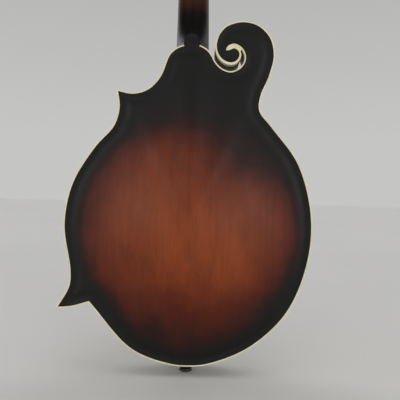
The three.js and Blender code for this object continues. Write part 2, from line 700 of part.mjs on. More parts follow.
// The saddle's flat top stays under the strings over its whole width.
const SADDLE_TOP =
  bridgeLine.y - STRING_RADII.g - (stringSlope * SADDLE_WIDTH) / 2 - SADDLE_GAP;
const BASE_TOP = SADDLE_TOP - 11.4;
const WHEEL_LOW = BASE_TOP + SADDLE_TRAVEL + CLEARANCE;
const WHEEL_THICKNESS = 2.2;
const SADDLE_LOW = WHEEL_LOW + WHEEL_THICKNESS + CLEARANCE;
const POST_TOP = SADDLE_TOP - 3.2;
const POST_FOOT = BASE_TOP - 6;
const bridgePostBore = (side, radius, low, high) =>
  peg(radius, (side * BRIDGE_POST_SPACING) / 2, BRIDGE_Z, low, high);

function bridgeBase() {
  const half = BRIDGE_LENGTH / 2;
  const rise = [
    [-half, 20], [-half, BASE_TOP - 6], [-half + 6, BASE_TOP - 4], [-40, BASE_TOP - 1.2],
    [-34, BASE_TOP], [34, BASE_TOP], [40, BASE_TOP - 1.2], [half - 6, BASE_TOP - 4],
    [half, BASE_TOP - 6], [half, 20], [24, 20], [20, BASE_TOP - 6], [12, BASE_TOP - 4.6],
    [-12, BASE_TOP - 4.6], [-20, BASE_TOP - 6], [-24, 20],
  ].map((p) => new THREE.Vector2(...p)).reverse();
  const wood = bar(rise, BRIDGE_Z - BRIDGE_WIDTH / 2, BRIDGE_Z + BRIDGE_WIDTH / 2);
  return cut(
    wood,
    slab(outline, 0, EDGE + CLEARANCE),
    archSpace(1, EDGE + CLEARANCE, EDGE - 3),
    ...[-1, 1].map((side) =>
      bridgePostBore(side, BRIDGE_POST_RADIUS + CLEARANCE, POST_FOOT - CLEARANCE, 80)),
  );
}

function bridgeSaddle() {
  const wide = SADDLE_WIDTH / 2;
  const half = 43;
  const blank = bar(
    [[-half, SADDLE_LOW], [half, SADDLE_LOW], [half, SADDLE_TOP - 3.5], [half - 8, SADDLE_TOP - 2.6],
      [half - 16, SADDLE_TOP], [16 - half, SADDLE_TOP], [8 - half, SADDLE_TOP - 2.6],
      [-half, SADDLE_TOP - 3.5]].map((p) => new THREE.Vector2(...p)),
    BRIDGE_Z - wide, BRIDGE_Z + wide,
  );
  const bores = [-1, 1].map((side) =>
    bridgePostBore(
      side, BRIDGE_POST_RADIUS + CLEARANCE, 0, POST_TOP + SADDLE_TRAVEL + CLEARANCE,
    ));
  return cut(blank, ...bores);
}

const thumbwheel = () =>
  ring(BRIDGE_POST_RADIUS + CLEARANCE, THUMBWHEEL_RADIUS, 0, WHEEL_THICKNESS, 20);

// ---------------------------------------------------------------- the tailpiece
const hookPlace = (i) => (3.5 - i) * HOOK_SPACING;
const outerStringAt = (z) => {
  const share = (z - STRING_START) / (bridgeInTail.z - STRING_START);
  return THREE.MathUtils.lerp(hookPlace(0), saddlePlace(0), share);
};
const tailOutline = (half, front, low, high) =>
  [[-half, low], [half, low], [half, 34], [front, high], [-front, high], [-half, 34]]
    .map((p) => new THREE.Vector2(...p));

function tailpiece() {
  const half = TAILPIECE_WIDTH / 2;
  const sheet = slab(tailOutline(half, half - 8, -1.5, TAILPIECE_LENGTH), 0, SHEET);
  const hooks = Array.from({ length: 8 }, (_, i) =>
    peg(0.9, hookPlace(i), HOOK_Z, SHEET / 2, HOOK_TOP, 8));
  const top = join(sheet, ...hooks).applyMatrix4(tailFrame);
  const apron = box(-14, 14, -15, EDGE + 1.6, -CLEARANCE - SHEET, -CLEARANCE);
  return cut(join(top, apron), ...tailBores());
}

const COVER_GAP = SHEET + CLEARANCE;
const COVER_HEADROOM = 4.12; // the cover's outside over the strings at its mouth
function coverShell(shrink, floor) {
  const half = TAILPIECE_WIDTH / 2 + 1.6 - shrink;
  const rear = -3.4 + shrink;
  const front = TAILPIECE_LENGTH + 3 + (shrink ? 2 : 0);
  const section = (z, wide, tall) => {
    const high = tall - shrink;
    return [[-wide, floor], [wide, floor], [wide, high - 3], [wide - 4, high], [4 - wide, high],
      [-wide, high - 3]].map(([x, y]) => new THREE.Vector3(x, y, z));
  };
  const mouth = TAILPIECE_LENGTH + 3;
  const aside = outerStringAt(mouth) + STRING_RADII.g + 1 + CLEARANCE - shrink;
  return loft([
    section(rear, half - 1, 7.4),
    section(34, half, 9.2),
    section(front, Math.max(half - 8, aside), stringOverSheet(mouth) + COVER_HEADROOM),
  ]);
}
const tailpieceCover = () => cut(coverShell(0, COVER_GAP), coverShell(1, COVER_GAP - 2));

// The end pin and the screws point out of the tail, along -z.
const endPin = () =>
  turned([
    [0, -16], [2.8, -16], [3.2, 0], [3.2, 2], [5.4, 2], [5.4, 3], [4.1, 4.6], [4.4, 6.4],
    [PIN_RADIUS - 0.6, 7.4], [PIN_RADIUS, 8.4], [PIN_RADIUS, 9.6], [PIN_RADIUS - 1.2, PIN_LENGTH],
    [0, PIN_LENGTH],
  ], 14).rotateX(-Math.PI / 2);
const tailScrew = () =>
  turned([
    [0, -11], [0.5, -11], [1.3, -8.5], [1.3, 1.8], [2.7, 1.8], [2.4, 2.9], [1.2, 3.4], [0, 3.4],
  ], 8).rotateX(-Math.PI / 2);

// ---------------------------------------------------------------- the strings
const COURSES = ["g", "d", "a", "e"];
const nutPlace = (i) => (i < 4 ? 1 : -1) * spread(i < 4 ? i : 7 - i, 10.9, 3.6, 0.95);
const saddlePlace = (i) => (i < 4 ? 1 : -1) * spread(i < 4 ? i : 7 - i, 19.2, 6.4, 1.2);
function spread(i, outer, inner, pair) {
  return (i < 2 ? outer : inner) + (i % 2 ? -pair : pair);
}
const COIL_Y = OVERLAY_TOP + 4;
const COIL_INNER = POST_RADIUS + CLEARANCE;

function string(i) {
  const radius = STRING_RADII[COURSES[Math.floor(i / 2)]];
  const side = i < 4 ? 1 : -1;
  const postZ = postPlaces[i < 4 ? i : 7 - i];
  const coilRadius = COIL_INNER + 0.3 + radius;
  const coil = ring(COIL_INNER, COIL_INNER + 2 * radius + 0.2, -1.6, 1.6, 12)
    .translate(side * POST_OFFSET, COIL_Y, postZ)
    .applyMatrix4(headInBody);
  const loop = ring(1.25, 1.95, -0.45, 0.45, 8)
    .translate(hookPlace(i), LOOP_Y, HOOK_Z)
    .applyMatrix4(tailFrame);
  const path = [
    new THREE.Vector3(hookPlace(i), LOOP_Y, STRING_START).applyMatrix4(tailFrame),
    new THREE.Vector3(saddlePlace(i), bridgeLine.y, BRIDGE_Z),
    inNeck(nutPlace(i), STRING_OVER_NUT, NUT_Z + NUT_THICKNESS / 2),
    new THREE.Vector3(side * (POST_OFFSET - coilRadius + 0.2), COIL_Y, postZ)
      .applyMatrix4(headInBody),
  ];
  return join(rod(path, radius), coil, loop);
}

// ---------------------------------------------------------------- assembly
const named = (name, geometry, finish) => {
  const mesh = new THREE.Mesh(geometry, finish);
  mesh.name = name;
  return mesh;
};
const frameGroup = (frame) => {
  const group = new THREE.Group();
  group.applyMatrix4(frame);
  return group;
};

const yoke = inNeck(0, -NECK_DEPTH / 2, NUT_Z);
const instrument = new THREE.Group();
instrument.position.set(0, -yoke.y, -yoke.z);

instrument.add(
  named("back_plate", backPlate(), BURST),
  named("top_plate", topPlate(), TOP_SPRUCE),
  named("rim", rim(), RIM_MAPLE),
  named("back_binding", backBinding(), CREAM),
  named("top_binding", topBinding(), CREAM),
  named("neck_block", neckBlock(), BARE_WOOD),
  named("scroll_block", scrollBlock(), BARE_WOOD),
  named("tail_block", tailBlock(), BARE_WOOD),
  named("upper_point_block", upperPointBlock(), BARE_WOOD),
  named("lower_point_block", lowerPointBlock(), BARE_WOOD),
  named("top_lining", liningStrip(1, 0), BARE_WOOD),
  named("back_lining", liningStrip(-1, 0), BARE_WOOD),
  named("bass_tone_bar", toneBar(22, 0.06), BARE_WOOD),
  named("treble_tone_bar", toneBar(-22, -0.06), BARE_WOOD),
);

const neckGroup = frameGroup(neckFrame);
neckGroup.add(
  named("neck", neck(), NECK_MAPLE),
  named("fingerboard", fingerboard(), EBONY),
  named("fingerboard_riser", fingerboardRiser(), NECK_MAPLE),
  named("nut", nut(), BONE),
  named("truss_rod", trussRod(), STEEL),
);
instrument.add(neckGroup);

const headGroup = frameGroup(headFrame);
headGroup.add(
  named("headstock_overlay", overlay(), EBONY),
  named("truss_rod_cover", rodCover(), EBONY),
);
for (const [side, word] of [[1, "bass"], [-1, "treble"]]) {
  headGroup.add(named(`${word}_tuner_plate`, tunerPlate(side), NICKEL));
  postPlaces.forEach((z, i) => {
    const post = named(`${word}_post_${i + 1}`, tunerPost(), NICKEL);
    post.position.set(side * POST_OFFSET, 0, z);
    const button = named(`${word}_button_${i + 1}`, tunerButton(side), PEARLOID);
    button.position.set(side * POST_OFFSET, WORM_Y, z - WORM_DROP);
    headGroup.add(post, button);
  });
}
neckGroup.add(headGroup);

instrument.add(
  named("bridge_base", bridgeBase(), EBONY),
  named("bridge_saddle", bridgeSaddle(), EBONY),
);
for (const [side, word] of [[1, "bass"], [-1, "treble"]]) {
  const x = (side * BRIDGE_POST_SPACING) / 2;
  const post = named(
    `${word}_bridge_post`, peg(BRIDGE_POST_RADIUS, 0, 0, POST_FOOT, POST_TOP), STEEL,
  );
  post.position.set(x, 0, BRIDGE_Z);
  const wheel = named(`${word}_thumbwheel`, thumbwheel(), NICKEL);
  wheel.position.set(x, WHEEL_LOW, BRIDGE_Z);
  instrument.add(post, wheel);
}

const tailGroup = frameGroup(tailFrame);
tailGroup.add(named("tailpiece_cover", tailpieceCover(), NICKEL));
instrument.add(
  tailGroup,
  named("tailpiece", tailpiece(), NICKEL),
  named("end_pin", endPin(), EBONY),
);
SCREW_PLACES.forEach(([x, y], i) => {
  const screw = named(`tailpiece_screw_${i + 1}`, tailScrew(), NICKEL);
  screw.position.set(x, y, 0);
  instrument.add(screw);
});

for (let i = 0; i < 8; i++) {
  const course = COURSES[Math.floor(i / 2)];
  const wound = course === "g" || course === "d";
  instrument.add(named(`${course}_string_${(i % 2) + 1}`, string(i), wound ? BRONZE : STEEL));
}

const mandolin = new THREE.Group();
mandolin.add(instrument);
export default mandolin;
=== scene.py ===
import math

import bmesh
import bpy
import numpy as np
from mathutils import Matrix, Vector
from mathutils.kdtree import KDTree


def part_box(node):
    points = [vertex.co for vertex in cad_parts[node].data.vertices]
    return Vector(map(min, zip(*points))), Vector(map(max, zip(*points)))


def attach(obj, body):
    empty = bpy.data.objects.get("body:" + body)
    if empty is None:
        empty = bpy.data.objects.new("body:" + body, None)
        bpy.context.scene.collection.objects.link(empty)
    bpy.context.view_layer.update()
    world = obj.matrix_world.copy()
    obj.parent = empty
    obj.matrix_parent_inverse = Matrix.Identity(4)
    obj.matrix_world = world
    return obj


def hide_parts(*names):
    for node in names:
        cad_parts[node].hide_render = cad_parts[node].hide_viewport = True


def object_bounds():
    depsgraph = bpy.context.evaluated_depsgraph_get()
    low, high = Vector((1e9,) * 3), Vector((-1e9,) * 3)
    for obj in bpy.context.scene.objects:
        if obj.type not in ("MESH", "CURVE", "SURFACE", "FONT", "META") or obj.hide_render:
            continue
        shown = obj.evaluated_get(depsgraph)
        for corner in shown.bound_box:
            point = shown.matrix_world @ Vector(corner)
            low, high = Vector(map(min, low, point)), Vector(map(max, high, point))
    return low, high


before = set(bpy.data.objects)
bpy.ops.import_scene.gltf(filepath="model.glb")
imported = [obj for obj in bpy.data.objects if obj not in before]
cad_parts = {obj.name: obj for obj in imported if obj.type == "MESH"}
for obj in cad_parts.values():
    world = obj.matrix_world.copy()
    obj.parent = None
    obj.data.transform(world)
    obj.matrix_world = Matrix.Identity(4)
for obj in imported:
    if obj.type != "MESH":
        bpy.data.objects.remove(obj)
cad_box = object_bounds()

# ------------------------------------------------------------------ where the instrument stands
# The body's own measures are in millimetres: x across with the scroll at +x, y out of the top
# and z up from the tail's edge. body_frame puts them into the frame's metres.
back_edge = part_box("back_binding")[0]
top_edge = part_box("top_binding")[1]
mid_plane = (back_edge[1] + top_edge[1]) / 2
body_frame = Matrix.Translation((0, mid_plane, back_edge[2])) @ Matrix.Scale(0.001, 4)
rim_half = (top_edge[1] - back_edge[1]) * 500

# ------------------------------------------------------------------ camera
# It looks squarely at the carved back, half a metre from its edge and a little above the
# middle of the lower bout, tilted so that the neck leans a degree to the right.
camera_distance = 500
camera_aim = body_frame @ Vector((11.4, -rim_half, 167.0))
lean = math.radians(1.21)
camera_data = bpy.data.cameras.new("camera")
camera_data.sensor_width = 36
camera_data.lens = 45
camera = bpy.data.objects.new("camera", camera_data)
camera_turn = Matrix((
    (math.cos(lean), -math.sin(lean), 0, 0),
    (0, 0, -1, 0),
    (math.sin(lean), math.cos(lean), 0, 0),
    (0, 0, 0, 1),
))
camera_place = camera_aim + Vector((0, -camera_distance / 1000, 0))
camera.matrix_world = Matrix.Translation(camera_place) @ camera_turn
bpy.context.scene.collection.objects.link(camera)
bpy.context.scene.camera = camera

# ------------------------------------------------------------------ studio light and floor
# Large diffusers stand far off, two behind the back, one overhead and two before the front, in
# a room of pale even light. The floor is a plain pale sheet under the end pin.
def diffuser(name, direction, strength, spread):
    """A soft far-off light that shines from a direction and covers some degrees of the room."""
    light = bpy.data.lights.new(name, "SUN")
    light.angle = math.radians(spread)
    light.energy = strength
    lamp = bpy.data.objects.new(name, light)
    lamp.rotation_euler = Vector(direction).to_track_quat("Z", "Y").to_euler()
    bpy.context.scene.collection.objects.link(lamp)


diffuser("left_back_light", (-0.60, -1.0, 0.12), 0.55, 25)
diffuser("right_back_light", (0.62, -1.0, 0.10), 0.70, 25)
diffuser("overhead_light", (0.1, -0.25, 1.0), 0.35, 50)
diffuser("left_front_light", (-0.9, 1.0, 0.45), 0.9, 40)
diffuser("right_front_light", (1.0, 0.8, 0.35), 0.7, 40)

world = bpy.data.worlds.new("studio")
world.use_nodes = True
room = world.node_tree
room_place = room.nodes.new("ShaderNodeTexCoord")
room_split = room.nodes.new("ShaderNodeSeparateXYZ")
room.links.new(room_place.outputs["Generated"], room_split.inputs["Vector"])
room_fade = room.nodes.new("ShaderNodeValToRGB")
room_fade.color_ramp.elements[0].position = 0.12
room_fade.color_ramp.elements[0].color = (0.56, 0.56, 0.55, 1)
room_fade.color_ramp.elements[1].position = 0.9
room_fade.color_ramp.elements[1].color = (0.30, 0.30, 0.30, 1)
room.links.new(room_split.outputs["Z"], room_fade.inputs["Fac"])
room.links.new(room_fade.outputs["Color"], room.nodes["Background"].inputs["Color"])
bpy.context.scene.world = world
bpy.context.scene.view_settings.view_transform = "Standard"


def new_material(name, colour, roughness, metallic=0.0):
    """A material with its shader's plain values set; the caller adds the surface's detail."""
    made = bpy.data.materials.new(name)
    made.use_nodes = True
    shader = made.node_tree.nodes["Principled BSDF"]
    shader.inputs["Base Color"].default_value = (*colour, 1)
    shader.inputs["Roughness"].default_value = roughness
    shader.inputs["Metallic"].default_value = metallic
    return made


def node(tree, kind, **values):
    """Adds a shader node; values are its properties, or its inputs by name."""
    made = tree.nodes.new(kind)
    for key, value in values.items():
        label = key.replace("_", " ").title()
        if label in made.inputs:
            made.inputs[label].default_value = value
        else:
            setattr(made, key, value)
    return made


def ramp(tree, source, stops):
    """A colour ramp of (place, colour) stops on a value."""
    made = tree.nodes.new("ShaderNodeValToRGB")
    while len(made.color_ramp.elements) < len(stops):
        made.color_ramp.elements.new(0.5)
    for element, (place, colour) in zip(made.color_ramp.elements, stops):
        element.position = place
        element.color = (*colour, 1)
    tree.links.new(source, made.inputs["Fac"])
    return made.outputs["Color"]


def maths(tree, operation, first, second=None, clamp=False):
    """One step of arithmetic on values or sockets."""
    made = tree.nodes.new("ShaderNodeMath")
    made.operation = operation
    made.use_clamp = clamp
    for socket, value in zip(made.inputs, (first, second)):
        if value is None:
            continue
        if isinstance(value, (int, float)):
            socket.default_value = value
        else:
            tree.links.new(value, socket)
    return made.outputs["Value"]


def noise(tree, scale, stretch=(1, 1, 1), detail=4.0, roughness=0.5):
    """Noise on the piece's own coordinates, stretched along an axis for grain."""
    place = tree.nodes.new("ShaderNodeTexCoord")
    mapping = tree.nodes.new("ShaderNodeMapping")
    mapping.inputs["Scale"].default_value = stretch
    tree.links.new(place.outputs["Object"], mapping.inputs["Vector"])
    made = tree.nodes.new("ShaderNodeTexNoise")
    made.inputs["Scale"].default_value = scale
    made.inputs["Detail"].default_value = detail
    made.inputs["Roughness"].default_value = roughness
    tree.links.new(mapping.outputs["Vector"], made.inputs["Vector"])
    return made.outputs["Fac"]


def mix(tree, amount, first, second, blend="MIX"):
    """Mixes two colours, each a socket or a plain colour."""
    made = tree.nodes.new("ShaderNodeMix")
    made.data_type = "RGBA"
    made.blend_type = blend
    for socket, value in ((made.inputs[0], amount), (made.inputs[6], first), (made.inputs[7], second)):
        if isinstance(value, bpy.types.NodeSocket):
            tree.links.new(value, socket)
        elif isinstance(value, tuple):
            socket.default_value = (*value, 1)
        else:
            socket.default_value = value
    return made.outputs[2]


def bump(tree, height, distance, strength=1.0):
    """Bumps the surface by a height socket, over a distance in metres."""
    made = tree.nodes.new("ShaderNodeBump")
    made.inputs["Distance"].default_value = distance
    made.inputs["Strength"].default_value = strength
    tree.links.new(height, made.inputs["Height"])
    tree.links.new(made.outputs["Normal"], tree.nodes["Principled BSDF"].inputs["Normal"])


def paint(tree, tone):
    """Colours the surface with a socket."""
    tree.links.new(tone, tree.nodes["Principled BSDF"].inputs["Base Color"])


floor_size = 60
floor_gap = 0.001
floor_paint = new_material("pale_floor", (0.77, 0.77, 0.75), 1.0)
floor_tree = floor_paint.node_tree
paint(floor_tree, ramp(floor_tree, noise(floor_tree, 1.5),
                       [(0.3, (0.755, 0.75, 0.735)), (0.7, (0.785, 0.78, 0.77))]))
floor_tree.nodes["Principled BSDF"].inputs["Specular IOR Level"].default_value = 0.0
bpy.ops.mesh.primitive_plane_add(size=floor_size, location=(0, 0, cad_box[0][2] - floor_gap))
floor = bpy.context.object
floor.name = "floor"
floor.data.materials.append(floor_paint)
bpy.ops.object.select_all(action="DESELECT")

# ------------------------------------------------------------------ the carved back
# A two-piece maple plate, 4 mm thick, carved to a 14 mm arch and stained in a burst from amber
# to black. Its round button carries on over the neck's heel. It is glued to the rim.
plate_thickness = 4.0
arch_rise = 14.0
binding_width = 1.35
heel_radius = 7.75
heel_reach = 10.5

heel_top = (0, 323)
lower_tip = (-131, 56)
upper_tip = (-74.5, 276)
notch = (-98, 62)
outline_stretches = [
    [heel_top, (8, 322), (16, 317.6), (20.5, 312), (24.5, 305), (31, 299), (39.5, 296.5),
     (48, 300), (52.5, 306.5), (52.8, 313), (49, 319.7), (42.5, 322.8), (37.4, 321),
     (35.6, 318.4), (38, 319.2), (42.5, 320.8), (48, 317.6), (49.6, 313), (47.4, 307),
     (42, 303.4), (35, 303.8), (28, 308.6), (24.4, 315.5), (23.5, 323)],
    [(23.5, 323), (26, 332.5), (34, 342), (50, 347), (66, 343.8), (79, 331.5), (83.4, 313),
     (78.5, 291), (71, 272.5), (70, 258), (83, 241), (109.5, 205.5), (123.7, 154), (120.8, 105.5),
     (101, 55.5), (64.5, 20), (24, 2.5), (4, 0), (-16, 1.5), (-55, 16), notch],
    [notch, (-116, 57), lower_tip],
    [lower_tip, (-118.8, 78.5), (-118, 95), (-124.8, 139.5), (-117.5, 181), (-96, 218),
     (-77, 240.5), (-72.2, 258), upper_tip],
    [upper_tip, (-58, 273.2), (-44, 277.2), (-32, 289.5), (-22, 313), (-12, 320.6), heel_top],
]
arch_half = [(0, 12), (44, 21), (78, 52), (104, 96), (112, 140), (103, 180), (84, 214),
             (62, 243), (52, 262), (34, 276), (19, 293), (9, 306), (0, 311)]
arch_centre = Vector((0, 140))


def smooth_line(knots, spacing, closed=False):
    """A curve through the knots, with a point about every spacing along it."""
    points = [Vector(k) for k in knots]
    count = len(points)
    line = []
    for i in range(count if closed else count - 1):
        start = points[i]
        end = points[(i + 1) % count]
        before = points[i - 1] if closed or i > 0 else start * 2 - end
        after = points[(i + 2) % count] if closed or i + 2 < count else end * 2 - start
        gap = [max((b - a).length, 1e-6) ** 0.5
               for a, b in ((before, start), (start, end), (end, after))]
        leave = ((start - before) / gap[0] - (end - before) / (gap[0] + gap[1])
                 + (end - start) / gap[1]) * gap[1]
        arrive = ((end - start) / gap[1] - (after - start) / (gap[1] + gap[2])
                  + (after - end) / gap[2]) * gap[1]
        steps = max(2, math.ceil((end - start).length / spacing))
        for k in range(steps):
            t = k / steps
            line.append(start * (2 * t ** 3 - 3 * t ** 2 + 1) + leave * (t ** 3 - 2 * t ** 2 + t)
                        + end * (3 * t ** 2 - 2 * t ** 3) + arrive * (t ** 3 - t ** 2))
    if not closed:
        line.append(points[-1])
    return line


def distance_to(points, loop):
    """Distance of each point to a closed loop of straight edges."""
    starts = np.array([p[:2] for p in loop])
    edges = np.roll(starts, -1, axis=0) - starts
    places = np.array([p[:2] for p in points])[:, None, :] - starts[None]
    along = np.clip((places * edges).sum(2) / (edges ** 2).sum(1), 0, 1)
    return np.linalg.norm(places - along[..., None] * edges, axis=2).min(1)


def inset(loop, amount):
    """A counter-clockwise loop moved inwards, or outwards by a negative amount."""
    moved = []
    for i, point in enumerate(loop):
        into = (point - loop[i - 1]).normalized()
        away = (loop[(i + 1) % len(loop)] - point).normalized()
        bisector = Vector((-into.y - away.y, into.x + away.x)).normalized()
        reach = bisector.dot(Vector((-away.y, away.x)))
        hollow = (into.x * away.y - into.y * away.x) * amount < 0
        moved.append(point + bisector * (amount / max(reach, 0.8 if hollow else 0.3)))
    far = distance_to(moved, loop)
    return [p for p, d in zip(moved, far) if d > 0.985 * abs(amount) - 0.01]


outline = []
for stretch in outline_stretches:
    outline += smooth_line(stretch, 1.6)[:-1]
outline.reverse()


def pick(piece):
    """Selects one piece alone and makes it the active one."""
    bpy.ops.object.select_all(action="DESELECT")
    bpy.context.view_layer.objects.active = piece
    piece.select_set(True)


def close_seams():
    """Merges the doubled points of the picked piece and turns its faces outwards."""
    bpy.ops.object.mode_set(mode="EDIT")
    bpy.ops.mesh.select_all(action="SELECT")
    bpy.ops.mesh.remove_doubles(threshold=0.001)
    bpy.ops.mesh.normals_make_consistent(inside=False)
    bpy.ops.object.mode_set(mode="OBJECT")


def finish_mesh(piece, way, angle=35):
    """Puts a piece modelled in its own measures into the frame, merged, facing out, smooth."""
    pick(piece)
    close_seams()
    bpy.ops.object.shade_smooth_by_angle(angle=math.radians(angle))
    piece.data.transform(way)
    piece.data.update()
    piece.select_set(False)


def place_piece(piece, way, material, body="instrument", nodes=(), angle=35):
    """Puts a finished shape into the frame and says what it is."""
    finish_mesh(piece, way, angle)
    piece.data.materials.append(material)
    if nodes:
        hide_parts(*nodes)
    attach(piece, body)
    return piece


def cut_solid(name, loops, low, high, rounding=0.0, lying=True):
    """Loops drawn as one filled outline and given thickness; lying ones are drawn in x and z
    and thickened along y, others are drawn in x and y and thickened along z."""
    drawing = bpy.data.curves.new(name, "CURVE")
    drawing.dimensions = "2D"
    drawing.fill_mode = "BOTH"
    drawing.extrude = (high - low) / 2 - rounding
    drawing.bevel_depth = rounding
    drawing.bevel_resolution = 2
    drawing.offset = -rounding
    for loop in loops:
        spline = drawing.splines.new("POLY")
        spline.points.add(len(loop) - 1)
        for point, place in zip(spline.points, loop):
            point.co = (place[0], place[1], 0, 1)
        spline.use_cyclic_u = True
    piece = bpy.data.objects.new(name, drawing)
    bpy.context.scene.collection.objects.link(piece)
    pick(piece)
    bpy.ops.object.convert(target="MESH")
    piece = bpy.context.object
    turn = Matrix.Rotation(math.pi / 2, 4, "X") if lying else Matrix.Identity(4)
    middle_height = (low + high) / 2
    shift = (0, middle_height, 0) if lying else (0, 0, middle_height)
    piece.data.transform(Matrix.Translation(shift) @ turn)
    close_seams()
    piece.select_set(False)
    return piece


def carve(piece, tool, operation="DIFFERENCE"):
    """Cuts, joins or trims a piece with another, and uses that one up."""
    step = piece.modifiers.new("carve", "BOOLEAN")
    step.operation = operation
    step.object = tool
    step.solver = "EXACT"
    pick(piece)
    bpy.ops.object.modifier_apply(modifier=step.name)
    piece.select_set(False)
    bpy.data.objects.remove(tool)


arch_loop = smooth_line(arch_half + [(-x, z) for x, z in arch_half[-2:0:-1]], 2.0, closed=True)
arch_angles = np.array([math.atan2(*(p - arch_centre).yx) for p in arch_loop])
arch_reach = np.array([(p - arch_centre).length for p in arch_loop])
arch_order = np.argsort(arch_angles)


def arch_height(x, z):
    """Height of the carved surface above the plate's edge, for arrays of places."""
    dx = x - arch_centre.x
    dz = z - arch_centre.y
    reach = np.interp(np.arctan2(dz, dx), arch_angles[arch_order], arch_reach[arch_order],
                      period=2 * math.pi)
    share = np.clip(np.hypot(dx, dz) / reach, 0, 1)
    return arch_rise * (0.5 + 0.5 * np.cos(math.pi * share))


edge_tree = KDTree(len(outline))
for i, place in enumerate(outline):
    edge_tree.insert((place.x, place.y, 0), i)
edge_tree.balance()


def carved_plate(name, tool, side):
    """A fine grid as thick as the plate, larger than the outline, and trimmed to it."""
    sheet_width = 266
    sheet_length = 361
    bpy.ops.object.select_all(action="DESELECT")
    bpy.ops.mesh.primitive_grid_add(x_subdivisions=140, y_subdivisions=190, size=1)
    plate = bpy.context.object
    plate.name = name
    outer = side * rim_half
    inner = side * (rim_half - plate_thickness)
    plate.data.transform(
        Matrix.Translation((-3, outer, 172)) @ Matrix.Rotation(math.pi / 2, 4, "X")
        @ Matrix.Diagonal((sheet_width, sheet_length, 1, 1)))
    bpy.ops.object.mode_set(mode="EDIT")
    bpy.ops.mesh.select_all(action="SELECT")
    bpy.ops.mesh.extrude_region_move(TRANSFORM_OT_translate={"value": (0, inner - outer, 0)})
    bpy.ops.mesh.select_all(action="SELECT")
    bpy.ops.mesh.normals_make_consistent(inside=False)
    bpy.ops.object.mode_set(mode="OBJECT")
    carve(plate, tool, "INTERSECT")
    return plate


def raise_arch(plate, side):
    """Lifts the flat plate into the arch, scoops it beside the binding, and notes how far each
    point lies from the edge, for the stain."""
    scoop_depth = 0.7
    scoop_place = 7
    scoop_spread = 4.0
    places = np.empty(len(plate.data.vertices) * 3)
    plate.data.vertices.foreach_get("co", places)
    places = places.reshape(-1, 3)
    from_edge = np.array([edge_tree.find((x, z, 0))[2] for x, _, z in places])
    scoop = scoop_depth * np.exp(-((from_edge - scoop_place) / scoop_spread) ** 2)
    places[:, 1] += side * (arch_height(places[:, 0], places[:, 2]) - scoop)
    plate.data.vertices.foreach_set("co", places.ravel())
    note = plate.data.attributes.new("from_edge", "FLOAT", "POINT")
    note.data.foreach_set("value", from_edge)


def body_places(tree):
    """The surface's three coordinates on the instrument, in metres."""
    place = node(tree, "ShaderNodeTexCoord")
    split = node(tree, "ShaderNodeSeparateXYZ")
    tree.links.new(place.outputs["Object"], split.inputs["Vector"])
    return split


def uneven_gloss(tree, scale, swing, base, detail=4.0):
    """Roughness that wanders above its base by some of the swing."""
    wander = maths(tree, "MULTIPLY", noise(tree, scale, detail=detail), swing)
    roughness = maths(tree, "ADD", wander, base)
    tree.links.new(roughness, tree.nodes["Principled BSDF"].inputs["Roughness"])


def soft_patch(tree, split, centre, size, depth):
    """A patch that fades from depth at its centre to nothing at about twice its size."""
    total = None
    for socket, start in (("X", centre[0]), ("Z", centre[1])):
        off = maths(tree, "SUBTRACT", split.outputs[socket], start)
        square = maths(tree, "POWER", maths(tree, "DIVIDE", off, size), 2.0)
        total = square if total is None else maths(tree, "ADD", total, square)
    fade = maths(tree, "POWER", 2.718, maths(tree, "MULTIPLY", total, -1.0))
    return maths(tree, "MULTIPLY", fade, depth)


